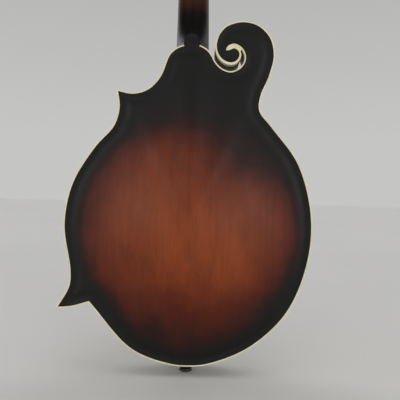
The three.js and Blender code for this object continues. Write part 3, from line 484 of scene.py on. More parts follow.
def burst_stain(name, stops, centre, half_width, rise, fall, stain_and_painted_light_spots):
    """A hand-rubbed burst: amber in the middle of the bouts, through rust and umber to black
    at the edge and over the scroll, with blotches, straight grain and a satin lacquer. Soft
    spots lighten or darken it: uneven rubbing of the stain, and on the back also painted
    highlights and painted shade."""
    made = new_material(name, stops[0][1], 0.42)
    tree = made.node_tree
    split = body_places(tree)
    across = maths(tree, "SUBTRACT", split.outputs["X"], centre[0])
    across = maths(tree, "DIVIDE", across, half_width)
    along = maths(tree, "SUBTRACT", split.outputs["Z"], centre[1])
    above = maths(tree, "DIVIDE", maths(tree, "MAXIMUM", along, 0.0), rise)
    below = maths(tree, "DIVIDE", maths(tree, "MINIMUM", along, 0.0), -fall)
    lingering = maths(tree, "ADD", maths(tree, "MULTIPLY", below, 0.3), 0.7)
    below = maths(tree, "MINIMUM", below, lingering)
    shade = maths(tree, "POWER", across, 2.0)
    for reach in (above, below):
        shade = maths(tree, "ADD", shade, maths(tree, "POWER", reach, 2.0))
    shade = maths(tree, "SQRT", shade)
    # Soft spots added to the burst: on the back partly uneven stain and partly painted highlights and
    # painted shade, a painted dark band above the middle and painted bright spots.
    for place, size, depth in stain_and_painted_light_spots:
        shade = maths(tree, "ADD", shade, soft_patch(tree, split, place, size, depth))
    edge_note = node(tree, "ShaderNodeAttribute", attribute_name="from_edge")
    dark_edge = 22.0
    near_edge = maths(tree, "SUBTRACT", dark_edge, edge_note.outputs["Fac"])
    near_edge = maths(tree, "DIVIDE", near_edge, dark_edge, clamp=True)
    shade = maths(tree, "ADD", shade, maths(tree, "MULTIPLY", near_edge, 0.3))
    cloud = maths(tree, "SUBTRACT", noise(tree, 22, detail=3.0), 0.5)
    shade = maths(tree, "ADD", shade, maths(tree, "MULTIPLY", cloud, 0.35))
    stain = ramp(tree, maths(tree, "DIVIDE", shade, 2.0),
                 [(reach / 2.0, colour) for reach, colour in stops])
    blotch = ramp(tree, noise(tree, 30, (1.0, 1.0, 0.55), 3.0, 0.6),
                  [(0.32, (0.62, 0.55, 0.5)), (0.62, (1.08, 1.08, 1.08))])
    stain = mix(tree, 0.55, stain, blotch, "MULTIPLY")
    fine_grain = noise(tree, 900, (1.0, 1.0, 0.02), 2.0, 0.6)
    wide_grain = noise(tree, 170, (1.0, 1.0, 0.03), 3.0, 0.55)
    grain = maths(tree, "ADD", maths(tree, "MULTIPLY", fine_grain, 0.5),
                  maths(tree, "MULTIPLY", wide_grain, 0.5))
    streak = ramp(tree, grain, [(0.36, (0.66, 0.6, 0.56)), (0.6, (1.1, 1.1, 1.1))])
    stain = mix(tree, 0.5, stain, streak, "MULTIPLY")
    paint(tree, stain)
    uneven_gloss(tree, 45, 0.1, 0.38, 3.0)
    tree.nodes["Principled BSDF"].inputs["Specular IOR Level"].default_value = 0.24
    bump(tree, grain, 0.00004, 0.25)
    return made


black_lacquer = (0.0050, 0.0050, 0.0048)
back_stops = [(0.0, (0.300, 0.062, 0.0110)), (0.42, (0.245, 0.046, 0.0080)),
              (0.77, (0.178, 0.030, 0.0050)), (0.99, (0.108, 0.0145, 0.0024)),
              (1.21, (0.026, 0.0040, 0.0018)), (1.36, (0.0075, 0.0045, 0.0038)),
              (1.55, black_lacquer)]
# Spots on the back's burst, each a place, a size and how much darker (plus) or lighter (minus): partly
# uneven stain, partly painted shade and painted highlights.
back_stain_and_painted_light_spots = [((0.003, -0.352), 0.046, 0.46), ((-0.040, -0.372), 0.036, -0.28),
                ((0.034, -0.416), 0.048, -0.46), ((-0.020, -0.326), 0.034, -0.26),
                ((0.058, -0.318), 0.030, 0.16), ((-0.050, -0.445), 0.034, -0.20),
                ((-0.016, -0.446), 0.030, 0.12)]
back_stain = burst_stain("back_burst_lacquer", back_stops, (0.001, -0.384), 0.093, 0.086,
                         0.066, back_stain_and_painted_light_spots)


def heel_button(growth, low, high):
    """The outline of the round button, from inside the body to its top."""
    radius = heel_radius + growth
    centre = heel_top[1] + heel_reach - heel_radius
    arc = [(radius * math.cos(math.pi * k / 24), centre + radius * math.sin(math.pi * k / 24))
           for k in range(25)]
    return cut_solid("heel_button", [[(-radius, 300), (radius, 300)] + arc], low, high)


back_tool = cut_solid("back_tool", [inset(outline, binding_width)], -60, 60)
carve(back_tool, heel_button(0, -59, 59), "UNION")
back = carved_plate("back", back_tool, -1)
raise_arch(back, -1)
place_piece(back, body_frame, back_stain, nodes=["back_plate"])

# ------------------------------------------------------------------ binding
# Strips of cream celluloid 1.35 mm wide and 6 mm deep, bent round the edges of both plates and
# scraped flush. The back's strip stops either side of the heel.
binding_height = 6.0


def let_light_in(tree):
    """Lets a little light into pale plastic or shell."""
    shader = tree.nodes["Principled BSDF"]
    shader.inputs["Subsurface Weight"].default_value = 0.1
    shader.inputs["Subsurface Scale"].default_value = 0.002


def celluloid(name):
    """Cream plastic, yellowed unevenly, with a dulled scraped surface."""
    made = new_material(name, (0.83, 0.76, 0.49), 0.42)
    tree = made.node_tree
    tone = ramp(tree, noise(tree, 60, detail=3.0),
                [(0.3, (0.79, 0.70, 0.42)), (0.7, (0.88, 0.82, 0.57))])
    paint(tree, tone)
    uneven_gloss(tree, 220, 0.2, 0.3)
    let_light_in(tree)
    bump(tree, noise(tree, 1500), 0.00001, 0.3)
    return made


cream = celluloid("cream_celluloid")
binding_loops = [outline, inset(outline, binding_width)]
for name, side in (("back_binding", -1), ("top_binding", 1)):
    low, high = sorted((side * rim_half, side * (rim_half - binding_height)))
    strip = cut_solid(name + "_strip", binding_loops, low, high, 0.25)
    if side < 0:
        carve(strip, heel_button(0.05, -60, 60))
    place_piece(strip, body_frame, cream, nodes=[name])

# ------------------------------------------------------------------ rim
# Thin maple ribs bent to the outline, stained dark brown and black towards both bindings, with
# the figure of the maple showing faintly across them.
def rib_stain(name):
    """Dark brown stain on figured maple, black beside the bindings."""
    made = new_material(name, (0.05, 0.018, 0.01), 0.4)
    tree = made.node_tree
    split = body_places(tree)
    off_middle = maths(tree, "ABSOLUTE", maths(tree, "SUBTRACT", split.outputs["Y"], mid_plane))
    rise = maths(tree, "DIVIDE", off_middle, 0.017)
    scroll = maths(tree, "MULTIPLY", maths(tree, "ADD", split.outputs["Z"], 0.31), 14.0, True)
    rise = maths(tree, "ADD", rise, scroll)
    cloud = maths(tree, "SUBTRACT", noise(tree, 20), 0.5)
    shade = maths(tree, "ADD", rise, maths(tree, "MULTIPLY", cloud, 0.5))
    stain = ramp(tree, shade, [(0.15, (0.055, 0.018, 0.008)), (0.6, (0.022, 0.009, 0.005)),
                               (0.95, (0.008, 0.007, 0.006))])
    flame = ramp(tree, noise(tree, 60, (1.0, 0.06, 1.0), 3.0),
                 [(0.3, (0.78, 0.74, 0.70)), (0.7, (1.1, 1.1, 1.1))])
    paint(tree, mix(tree, 0.55, stain, flame, "MULTIPLY"))
    tree.nodes["Principled BSDF"].inputs["Specular IOR Level"].default_value = 0.2
    uneven_gloss(tree, 40, 0.1, 0.33)
    bump(tree, noise(tree, 700, (1.0, 0.05, 1.0)), 0.00003, 0.2)
    return made


rib_lacquer = rib_stain("rib_lacquer")
rib_thickness = 3.3
ribs = cut_solid("ribs", [outline, inset(outline, rib_thickness)],
                 binding_height - rim_half, rim_half - binding_height)
tenon_gap = cut_solid("tenon_gap", [[(-9, 300), (9, 300), (9, 330), (-9, 330)]], -14, 15)
carve(ribs, tenon_gap)
place_piece(ribs, body_frame, rib_lacquer, nodes=["rim"])

# ------------------------------------------------------------------ the cream eye of the scroll
# Where the slot narrows to its end inside the scroll, the two strips of binding meet, and the
# gap between them is filled with a sliver of the same celluloid, set a little lower.
slot_end = smooth_line([(49.9, 318.6), (46.6, 322.0), (42.5, 322.9), (37.4, 321.1),
                        (35.5, 318.3), (38, 319.1), (42.5, 320.9), (46.6, 319.2),
                        (48.6, 316.6)], 1.0)
slot_end.reverse()
filler = cut_solid("slot_filler", [slot_end], -rim_half + 0.5, -rim_half + binding_height)
place_piece(filler, body_frame, cream)
curl_wall = smooth_line([(45.8, 319.8), (48, 317.6), (49.6, 313), (47.4, 307), (42, 303.4),
                         (35, 303.8), (28, 308.6), (24.4, 315.5), (23.5, 323), (26, 332.5)], 1.0)
curl_overlap = 0.12
curl_outside = []
curl_inside = []
for k, point in enumerate(curl_wall):
    along = (curl_wall[min(k + 1, len(curl_wall) - 1)] - curl_wall[max(k - 1, 0)]).normalized()
    into = Vector((along.y, -along.x))
    share = k / (len(curl_wall) - 1)
    width = 1.2 + 0.95 * math.sin(math.pi * min(share * 1.25, 1.0))
    curl_outside.append(point - into * curl_overlap)
    curl_inside.append(point + into * width)
curl_strip = cut_solid("curl_strip", [curl_outside + curl_inside[::-1]],
                       -rim_half - 0.06, -rim_half + 8.5)
place_piece(curl_strip, body_frame, cream)

# ------------------------------------------------------------------ the carved top
# A spruce plate carved like the back, with two long sound holes cut through it by hand, and
# the same burst over fine straight grain.
def circle(radius, x=0, z=0, sides=24):
    """A loop of points about a centre."""
    return [(x + radius * math.cos(2 * math.pi * k / sides),
             z + radius * math.sin(2 * math.pi * k / sides)) for k in range(sides)]


top_tool = cut_solid("top_tool", [inset(outline, binding_width)], -60, 60)
for side in (-1, 1):
    hole_line = smooth_line([(side * x, z) for x, z in (
        (36, 204), (41, 212), (46.5, 207), (48, 190), (50.5, 175), (53, 160), (54, 144),
        (59.5, 139), (64, 147))], 2.0)
    near = []
    far = []
    for i, place in enumerate(hole_line):
        run = hole_line[min(i + 1, len(hole_line) - 1)] - hole_line[max(i - 1, 0)]
        run.normalize()
        half = 1.3 + 1.9 * math.sin(math.pi * i / (len(hole_line) - 1)) ** 2
        near.append(place + Vector((-run.y, run.x)) * half)
        far.append(place - Vector((-run.y, run.x)) * half)
    carve(top_tool, cut_solid("hole", [near + far[::-1]], -59, 59))
    for x, z, radius in ((36.5, 203.5, 3.6), (63.5, 148, 4.4)):
        carve(top_tool, cut_solid("eye", [circle(radius, side * x, z, 32)], -59, 59))
top = carved_plate("top", top_tool, 1)
raise_arch(top, 1)
top_stops = [(0.0, (0.40, 0.150, 0.030)), (0.45, (0.38, 0.130, 0.025)),
             (0.77, (0.25, 0.060, 0.011)), (0.99, (0.120, 0.0200, 0.0045)),
             (1.21, (0.030, 0.0060, 0.0025)), (1.36, (0.0085, 0.0050, 0.0040)),
             (1.55, black_lacquer)]
top_stain = burst_stain("top_burst_lacquer", top_stops, (0.001, -0.384), 0.093, 0.086, 0.068,
                        [((0.03, -0.36), 0.04, 0.15)])
place_piece(top, body_frame, top_stain, nodes=["top_plate"])

# ------------------------------------------------------------------ blocks, linings, tone bars
# The unseen woodwork inside: bare maple and spruce, sawn, glued and left unfinished.
def bare_wood(name, pale, dark, figure):
    """Unfinished wood with growth rings run along the body."""
    made = new_material(name, pale, 0.75)
    tree = made.node_tree
    rings = noise(tree, figure, (1.0, 1.0, 0.08), 4.0, 0.6)
    paint(tree, ramp(tree, rings, [(0.35, dark), (0.62, pale)]))
    bump(tree, noise(tree, 900, (1.0, 1.0, 0.1)), 0.00003, 0.4)
    return made


def finish_node(name, material):
    """Gives its finish to a piece that keeps its own mesh."""
    for material_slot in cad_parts[name].material_slots:
        material_slot.material = material


raw_wood = bare_wood("bare_spruce", (0.58, 0.41, 0.22), (0.40, 0.25, 0.12), 260)
for name in ("neck_block", "scroll_block", "tail_block", "upper_point_block",
             "lower_point_block", "top_lining", "back_lining", "bass_tone_bar",
             "treble_tone_bar"):
    finish_node(name, raw_wood)

# ------------------------------------------------------------------ neck and headstock
# One piece of maple: a slim half-round neck that swells into a tapering heel at the body, and
# a flat headstock cut to a scrolled outline. Black at both ends, red-brown between them.
scale_length = 352.4
nut_place = scale_length * (1 - 2 ** (-15 / 12))
nut_thickness = 4.0
nut_width = 28.0
joint_width = 35.6
heel_end = 48.9
head_start = nut_place + nut_thickness + 0.3
head_thickness = 14.0
post_offset = 19.0
post_places = [38, 61, 84, 107]
neck_in_body = (Matrix.Translation((0, rim_half + 7.9, 321))
                @ Matrix.Rotation(math.radians(6), 4, "X"))
head_in_body = (neck_in_body @ Matrix.Translation((0, 0, head_start))
                @ Matrix.Rotation(math.radians(14), 4, "X"))
neck_frame = body_frame @ neck_in_body
head_frame = body_frame @ head_in_body


def board_half(z):
    """Half the fingerboard's width at a place up the neck."""
    return (joint_width + (nut_width - joint_width) * z / nut_place) / 2


def loft(name, sections):
    """A ring of points drawn out through the sections, each as many points, and closed."""
    count = len(sections[0])
    bpy.ops.object.select_all(action="DESELECT")
    bpy.ops.mesh.primitive_circle_add(vertices=count, fill_type="NGON")
    piece = bpy.context.object
    piece.name = name
    bpy.ops.object.mode_set(mode="EDIT")
    for i, section in enumerate(sections):
        if i:
            bpy.ops.mesh.extrude_region_move()
        shape = bmesh.from_edit_mesh(piece.data)
        shape.verts.ensure_lookup_table()
        for vert, place in zip(shape.verts[-count:], section):
            vert.co = place
        bmesh.update_edit_mesh(piece.data)
    bpy.ops.mesh.select_all(action="SELECT")
    bpy.ops.mesh.normals_make_consistent(inside=False)
    bpy.ops.object.mode_set(mode="OBJECT")
    piece.select_set(False)
    return piece


def block(name, low, high):
    """A box between two corners."""
    bpy.ops.object.select_all(action="DESELECT")
    bpy.ops.mesh.primitive_cube_add(size=1)
    piece = bpy.context.object
    piece.name = name
    size = Vector(high) - Vector(low)
    centre = (Vector(high) + Vector(low)) / 2
    piece.data.transform(Matrix.Translation(centre) @ Matrix.Diagonal((*size, 1)))
    piece.select_set(False)
    return piece


def neck_section(z, depth, heel):
    """The neck's back at z: half an oval that turns into a narrow taper in the heel."""
    half = board_half(max(z, 0))
    section = []
    for k in range(33):
        turn = math.pi * k / 32
        down = math.sin(turn)
        lean = math.cos(turn)
        side = 0 if abs(lean) < 0.01 else -math.copysign(1, lean)
        taper = side * (half + (heel_radius - half) * down ** 1.6)
        section.append((-half * lean * (1 - heel) + taper * heel, -depth * down, z))
    return section


neck_shape = [(-8, heel_end, 1), (9.5, heel_end, 1), (13, 38, 0.9), (18, 28, 0.7), (25, 21, 0.4),
              (36, 17, 0.1), (60, 15.6, 0), (120, 14.3, 0), (184, 13, 0), (head_start, 13.2, 0)]
places = np.concatenate([[-8, 9.5], np.arange(10.5, 60, 1.8), np.arange(60, 208, 12),
                         [head_start - 4, head_start]])
depth_line = np.array(smooth_line([(z, d) for z, d, _ in neck_shape], 0.6))
heel_line = np.array(smooth_line([(z, 60 * h) for z, _, h in neck_shape], 0.6))
neck = loft("neck", [
    neck_section(z, np.interp(z, *depth_line.T), np.interp(z, *heel_line.T) / 60)
    for z in places])
head_line = [
    (-14.5, -4), (-17, 8), (-26, 23), (-31.5, 37), (-31, 60), (-29.5, 85), (-30.5, 106),
    (-36.5, 122), (-39, 137), (-34, 151), (-23, 156), (-13, 149), (-5, 139), (3, 138),
    (10, 148), (17, 159), (28, 163), (38, 155), (41.5, 140), (38, 123), (30.5, 106),
    (29.5, 85), (31, 60), (31.5, 37), (26, 23), (17, 8), (14.5, -4),
]
head_loop = smooth_line(head_line, 2.0)
head_loop.reverse()


head = cut_solid("head", [head_loop], -head_thickness, 0, 0.6)
head.data.transform(head_in_body)
neck.data.transform(neck_in_body)
carve(neck, head, "UNION")
nut_ledge = block("nut_ledge", (-40, 0, nut_place - 30), (40, 40, head_start + 6))
nut_ledge.data.transform(neck_in_body)
root_flare = 16
root_sections = []
for z in np.arange(-9, 26, 2.0):
    square = min(max((z + 6) / 26, 0.0), 1.0)
    square = square * square * (3 - 2 * square)
    half = nut_width / 2 + 0.4 + root_flare * square
    deep = head_thickness + 0.4 + root_flare * square
    root_sections.append([(-half * math.cos(math.pi * k / 32),
                           -deep * math.sin(math.pi * k / 32), z) for k in range(33)]
                         + [(half, 9, z), (-half, 9, z)])
head_root = loft("head_root", root_sections)
root_waste = block("root_waste", (-34, -22, -8), (34, 8, 24))
carve(root_waste, head_root)
root_waste.data.transform(head_in_body)
carve(neck, root_waste)
rod_pocket = block("rod_pocket", (-4, -9, -4), (4, 1, 16))
rod_pocket.data.transform(head_in_body)
bore_loops = [circle(3.5, side * post_offset, z) for z in post_places for side in (-1, 1)]
post_bores = cut_solid("post_bores", bore_loops, -30, 10)
post_bores.data.transform(head_in_body)
body_space = cut_solid("body_space", [inset(outline, -0.3)], -60, rim_half + 0.3)
under_heel = block("under_heel", (-40, -120, 280), (40, plate_thickness - rim_half, 380))
for tool in (nut_ledge, rod_pocket, post_bores, body_space, under_heel):
    carve(neck, tool)


def neck_stain(name):
    """Lacquered maple, black at the heel and the headstock and red-brown along the neck."""
    made = new_material(name, (0.06, 0.015, 0.007), 0.4)
    tree = made.node_tree
    split = body_places(tree)
    drift = maths(tree, "MULTIPLY", maths(tree, "SUBTRACT", noise(tree, 25), 0.5), 0.03)
    rise = maths(tree, "DIVIDE", maths(tree, "ADD", split.outputs["Z"], 0.2), 0.3)
    rise = maths(tree, "ADD", rise, drift)
    stain = ramp(tree, rise, [(0.0, black_lacquer), (0.14, (0.007, 0.005, 0.0048)),
                              (0.18, (0.045, 0.017, 0.011)), (0.28, (0.12, 0.032, 0.012)),
                              (0.45, (0.14, 0.036, 0.012)), (0.60, (0.05, 0.014, 0.007)),
                              (0.70, (0.008, 0.006, 0.005)), (1.0, black_lacquer)])
    flame = ramp(tree, noise(tree, 120, (1.0, 1.0, 0.1), 3.0),
                 [(0.35, (0.72, 0.68, 0.64)), (0.6, (1.08, 1.08, 1.08))])
    paint(tree, mix(tree, 0.7, stain, flame, "MULTIPLY"))
    uneven_gloss(tree, 60, 0.1, 0.38)
    tree.nodes["Principled BSDF"].inputs["Specular IOR Level"].default_value = 0.04
    bump(tree, noise(tree, 700, (1.0, 1.0, 0.05)), 0.00003, 0.2)
    return made


neck_lacquer = neck_stain("neck_lacquer")
place_piece(neck, body_frame, neck_lacquer, nodes=["neck"], angle=30)
finish_node("fingerboard_riser", neck_lacquer)

# ------------------------------------------------------------------ fingerboard
# A 5 mm ebony board glued to the neck and running on over the top, longer under the treble
# strings. Nickel-silver frets are pressed into it, and pearl dots mark the positions.
def black_wood(name, roughness):
    """Ebony: nearly black, with fine brown streaks and open pores."""
    made = new_material(name, (0.010, 0.0085, 0.008), roughness)
    tree = made.node_tree
    tone = ramp(tree, noise(tree, 220, (1.0, 1.0, 0.05), 4.0, 0.6),
                [(0.4, (0.007, 0.0062, 0.006)), (0.75, (0.026, 0.018, 0.013))])
    paint(tree, tone)
    uneven_gloss(tree, 90, 0.2, roughness - 0.1)
    bump(tree, noise(tree, 1400, (1.0, 1.0, 0.08)), 0.00004, 0.5)
    return made


def metal(name, colour, roughness, smudge):
    """Plated or plain metal, with faint smudges and fine scratches."""
    made = new_material(name, colour, roughness, 1.0)
    tree = made.node_tree
    dull = tuple(0.82 * c for c in colour)
    paint(tree, ramp(tree, noise(tree, 90, detail=5.0), [(0.3, dull), (0.65, colour)]))
    uneven_gloss(tree, 150, smudge, roughness)
    bump(tree, noise(tree, 1800, (1.0, 1.0, 0.2)), 0.00001, 0.3)
    return made


def pearl(name):
    """Mother of pearl: pale, with drifting pink, green and grey clouds."""
    made = new_material(name, (0.78, 0.76, 0.70), 0.22)
    tree = made.node_tree
    tone = ramp(tree, noise(tree, 260, (1.0, 1.0, 0.6), 5.0, 0.65),
                [(0.30, (0.56, 0.62, 0.58)), (0.45, (0.80, 0.78, 0.71)),
                 (0.58, (0.82, 0.72, 0.68)), (0.72, (0.88, 0.87, 0.82))])
    paint(tree, tone)
    let_light_in(tree)
    bump(tree, noise(tree, 600), 0.00001, 0.3)
    return made


ebony = black_wood("ebony", 0.5)
nickel = metal("nickel_plate", (0.66, 0.64, 0.59), 0.16, 0.16)
steel = metal("steel", (0.46, 0.46, 0.47), 0.28, 0.14)
shell = pearl("pearl")


def copy_piece(piece, name, way):
    """A copy with its own mesh, moved by a transform."""
    twin = piece.copy()
    twin.data = piece.data.copy()
    twin.name = name
    twin.data.transform(way)
    bpy.context.scene.collection.objects.link(twin)
    return twin


def join_pieces(name, pieces):
    """Joins pieces into one object."""
    bpy.ops.object.select_all(action="DESELECT")
    for piece in pieces:
        piece.select_set(True)
    bpy.context.view_layer.objects.active = pieces[0]
    bpy.ops.object.join()
    pieces[0].name = name
    pieces[0].select_set(False)
    return pieces[0]


board_thickness = 5.0
board_end = nut_place - scale_length * (1 - 2 ** (-20 / 12)) - 3.5
treble_end = nut_place - scale_length * (1 - 2 ** (-24 / 12)) - 4
end_line = smooth_line([(board_half(board_end), board_end), (6, board_end - 2),
                        (-1, board_end - 10), (-5, treble_end + 2),
                        (-board_half(board_end) - 0.8, treble_end)], 1.5)
board_loop = [Vector((-nut_width / 2, nut_place)), Vector((nut_width / 2, nut_place))] + end_line
board_loop.reverse()
board = cut_solid("fingerboard", [board_loop], 0.3, board_thickness, 0.3)
place_piece(board, neck_frame, ebony, nodes=["fingerboard"])

fret_height = 0.95
frets = []
fret_shape = loft("fret", [[(x, fret_height * math.sin(math.pi * k / 8), -math.cos(math.pi * k / 8))
                            for k in range(9)] for x in (0, 1)])
end_reach = sorted((place.y, place.x) for place in end_line[:-1])
for number in range(1, 25):
    z = nut_place - scale_length * (1 - 2 ** (-number / 12))
    half = board_half(z) - 0.1
    right = half
    if z < board_end:
        right = float(np.interp(z, [r[0] for r in end_reach], [r[1] for r in end_reach])) - 0.6
    way = Matrix.Translation((-half, board_thickness, z)) @ Matrix.Diagonal((half + right, 1, 1, 1))
    frets.append(copy_piece(fret_shape, "fret_%d" % number, way))
bpy.data.objects.remove(fret_shape)
place_piece(join_pieces("frets", frets), neck_frame, nickel)

dot_radius = 2.1
dots = []
for number in (5, 7, 10, 12, 15, 17):
    z = nut_place - scale_length * (1 - (2 ** (-number / 12) + 2 ** ((1 - number) / 12)) / 2)
    for x in ((-5.5, 5.5) if number == 12 else (0,)):
        dots.append(cut_solid("dot", [circle(dot_radius, x, z)], 4.0, board_thickness + 0.04))
place_piece(join_pieces("position_dots", dots), neck_frame, shell)

# ------------------------------------------------------------------ nut
# A block of polished bone at the top of the fingerboard, filed with eight slots in four pairs.
string_over_nut = board_thickness + 1.9
string_over_bridge = board_thickness + 4.6
gauges = [0.5, 0.5, 0.42, 0.42, 0.34, 0.34, 0.30, 0.30]


def course_places(outer, inner, pair):
    """Places of the eight strings across the neck, from the bass side."""
    bass = [outer + pair, outer - pair, inner + pair, inner - pair]
    return bass + [-x for x in bass[::-1]]


nut_strings = course_places(10.9, 3.6, 0.95)
bridge_strings = course_places(19.2, 6.4, 1.2)


def notched_edge(places, height, sunk):
    """The top edge of a nut or saddle from +x to -x, notched for each string."""
    edge = []
    for x, gauge in zip(places, gauges):
        wide = gauge + 0.12
        edge += [(x + wide, height), (x + 0.6 * wide, sunk - gauge),
                 (x - 0.6 * wide, sunk - gauge), (x - wide, height)]
    return edge


bone = new_material("bone", (0.76, 0.70, 0.55), 0.3)
bone_tree = bone.node_tree
paint(bone_tree, ramp(bone_tree, noise(bone_tree, 400, (1.0, 0.3, 1.0)),
                      [(0.35, (0.70, 0.62, 0.46)), (0.65, (0.80, 0.75, 0.62))]))
bump(bone_tree, noise(bone_tree, 2000), 0.00001, 0.4)
nut_top = string_over_nut + 0.05
nut_profile = ([(-14, 0.3), (14, 0.3), (14, nut_top - 1.6), (13, nut_top - 0.3)]
               + notched_edge(nut_strings, nut_top, string_over_nut)
               + [(-13, nut_top - 0.3), (-14, nut_top - 1.6)])
nut = cut_solid("nut", [nut_profile], nut_place + 0.3, nut_place + nut_thickness, 0, lying=False)
place_piece(nut, neck_frame, bone, nodes=["nut"])

# ------------------------------------------------------------------ headstock face
# A black veneer on the headstock's front, a bevelled cover over the truss rod's nut, and a
# nickel collar pressed in round each tuner post.
overlay_top = 2.8
face = cut_solid("headstock_face", [head_loop] + [circle(3.6, side * post_offset, z)
                 for z in post_places for side in (-1, 1)], 0.3, overlay_top, 0.3)
carve(face, block("face_end", (-60, -5, -10), (60, 10, 2)))
carve(face, block("face_pocket", (-4.2, -5, 0), (4.2, 10, 16)))
face_lacquer = black_wood("black_lacquer", 0.32)
place_piece(face, head_frame, face_lacquer, nodes=["headstock_overlay"])

cover_loop = [(-9, 3), (9, 3), (9.5, 9), (6, 20), (3.5, 30), (0, 34), (-3.5, 30), (-6, 20),
              (-9.5, 9)]
rod_cover = cut_solid("rod_cover", [cover_loop], overlay_top + 0.1, overlay_top + 1.4, 0.35)
place_piece(rod_cover, head_frame, ebony, nodes=["truss_rod_cover"])
cover_screws = []
for x, z in ((-6.5, 6), (6.5, 6), (0, 29)):
    height = overlay_top + 1.4
    screw = loft("cover_screw", [[(a, height + h, b) for a, b in circle(r, x, z, 16)]
                                 for r, h in ((1.4, -0.5), (1.4, 0.1), (1.1, 0.45), (0.5, 0.6))])
    carve(screw, block("slot", (x - 2, height + 0.3, z - 0.2), (x + 2, height + 2, z + 0.2)))
    cover_screws.append(screw)
place_piece(join_pieces("cover_screws", cover_screws), head_frame, nickel)

collars = []
for z in post_places:
    for side in (-1, 1):
        x = side * post_offset
        collar = loft("collar", [[(a, h, b) for a, b in circle(r, x, z, 28)] for r, h in (
            (3.3, 3.9), (3.3, 2.4), (5.1, 2.4), (5.1, 3.1), (4.6, 3.7), (3.8, 4.1), (3.3, 4.1))])
        collars.append(collar)
for collar in collars:
    pick(collar)
    bpy.ops.object.mode_set(mode="EDIT")
    shape = bmesh.from_edit_mesh(collar.data)
    end_faces = [face for face in shape.faces if len(face.verts) > 4]
    bmesh.ops.delete(shape, geom=end_faces, context="FACES_ONLY")
    bmesh.update_edit_mesh(collar.data)
    bpy.ops.mesh.select_all(action="SELECT")
    bpy.ops.mesh.remove_doubles(threshold=0.25)
    bpy.ops.object.mode_set(mode="OBJECT")
    collar.select_set(False)
place_piece(join_pieces("post_collars", collars), head_frame, nickel)

# ------------------------------------------------------------------ tuners
# Four geared tuners a side on one nickel strip, screwed to the headstock's back. Each post
# carries a 16-tooth wheel, turned by a worm on a shaft with a pearl button on its end.
sheet_thickness = 1.2
strip_back = -head_thickness - 0.3 - sheet_thickness
worm_radius = 2.2
gear_radius = 4.7
worm_height = strip_back - 0.3 - worm_radius
worm_drop = gear_radius + worm_radius + 0.3
gear_teeth = 16


def rounded_box(name, low, high, rounding):
    """A box with its edges rounded over."""
    piece = block(name, low, high)
    soften = piece.modifiers.new("rounding", "BEVEL")
    soften.width = rounding
    soften.segments = 2
    pick(piece)
    bpy.ops.object.modifier_apply(modifier=soften.name)
    piece.select_set(False)
    return piece


def turned(name, profile, sides=24, axis="Y", centre=(0, 0)):
    """A closed piece turned from (radius, place along the axis) pairs."""
    sections = []
    for radius, along in profile:
        loop = circle(max(radius, 0.02), centre[0], centre[1], sides)
        if axis == "Y":
            sections.append([(a, along, b) for a, b in loop])
        elif axis == "Z":
            sections.append([(a, b, along) for a, b in loop])
        else:
            sections.append([(along, a, b) for a, b in loop])
    return loft(name, sections)


sides = ((1, "bass"), (-1, "treble"))
for side, word in sides:
    x = side * post_offset
    low = post_places[0] - 14
    high = post_places[3] + 8
    corner = [circle(2.5, x + sx * 4.5, z + sz * 2.5)
              for sx, sz, z in ((1, -1, high), (-1, -1, high), (-1, 1, low), (1, 1, low))]
    strip_loop = corner[0][0:7] + corner[1][6:13] + corner[2][12:19] + corner[3][18:24]
    post_holes = [circle(3.5, x, z) for z in post_places]
    strip = cut_solid("strip", [strip_loop] + post_holes, strip_back,
                      strip_back + sheet_thickness, 0.25)
    parts = [strip]
    for z in post_places:
        for end in (-1, 1):
            lug = rounded_box(
                "lug", (x + end * 4.4 - 0.6, worm_height - 2.5, z - worm_drop - 2.2),
                (x + end * 4.4 + 0.6, strip_back + 0.4, z - worm_drop + 2.2), 0.35)
            parts.append(lug)
    for z in (low + 3, (post_places[1] + post_places[2]) / 2 + 3.5, high - 2.6):
        screw = turned("plate_screw", ((1.7, strip_back + 0.4), (1.7, strip_back - 0.1),
                                       (1.3, strip_back - 0.6), (0.5, strip_back - 0.8)), 20,
                       "Y", (x - side * 0.5, z))
        across = block("slot", (x - 4, strip_back - 2, z - 0.22), (x + 4, strip_back - 0.4, z + 0.22))
        carve(screw, across)
        parts.append(screw)
    place_piece(join_pieces(word + "_tuner_strip", parts), head_frame, nickel,
                nodes=[word + "_tuner_plate"])

post_top = overlay_top + 10
tuner_post = turned("tuner_post", (
    (2.2, worm_height + 1), (2.2, strip_back + 0.5), (2.95, strip_back + 1.2), (2.95, 4.0),
    (2.95, 4.9), (2.5, 5.3), (2.5, 8.0), (2.95, 8.6), (3.0, post_top - 1.2),
    (2.8, post_top - 0.5), (2.1, post_top)), 28)
string_bore = turned("string_bore", ((0.75, -5), (0.75, 5)), 12, "X", (post_top - 3.0, 0))
carve(tuner_post, string_bore)


def toothed_loop(count, tooth):
    """The outline of a wheel, from the (radius, share of a tooth) pairs of one tooth."""
    loop = []
    for k in range(count):
        for reach, turn in tooth:
            angle = 2 * math.pi * (k + turn) / count
            loop.append((reach * math.cos(angle), reach * math.sin(angle)))
    return loop


gear_root = gear_radius - 0.9
gear_line = toothed_loop(gear_teeth, ((gear_root, -0.36), (gear_root, -0.2), (gear_radius, -0.1),
                                      (gear_radius, 0.1), (gear_root, 0.2)))
gear = cut_solid("gear", [gear_line], worm_height - 1.1, worm_height + 1.2)
gear_screw = turned("gear_screw", ((2.6, worm_height - 1.0), (2.6, worm_height - 1.5),
                                   (2.1, worm_height - 1.9), (0.8, worm_height - 2.0)), 24)
carve(gear_screw, block("slot", (-4, worm_height - 4, -0.3), (4, worm_height - 1.5, 0.3)))
bronze_gear = metal("gear_bronze", (0.56, 0.40, 0.20), 0.24, 0.16)
for part, stuff in ((tuner_post, nickel), (gear, bronze_gear), (gear_screw, nickel)):
    finish_mesh(part, Matrix.Identity(4))
    part.data.materials.append(stuff)
post_set = join_pieces("post_set", [tuner_post, gear, gear_screw])

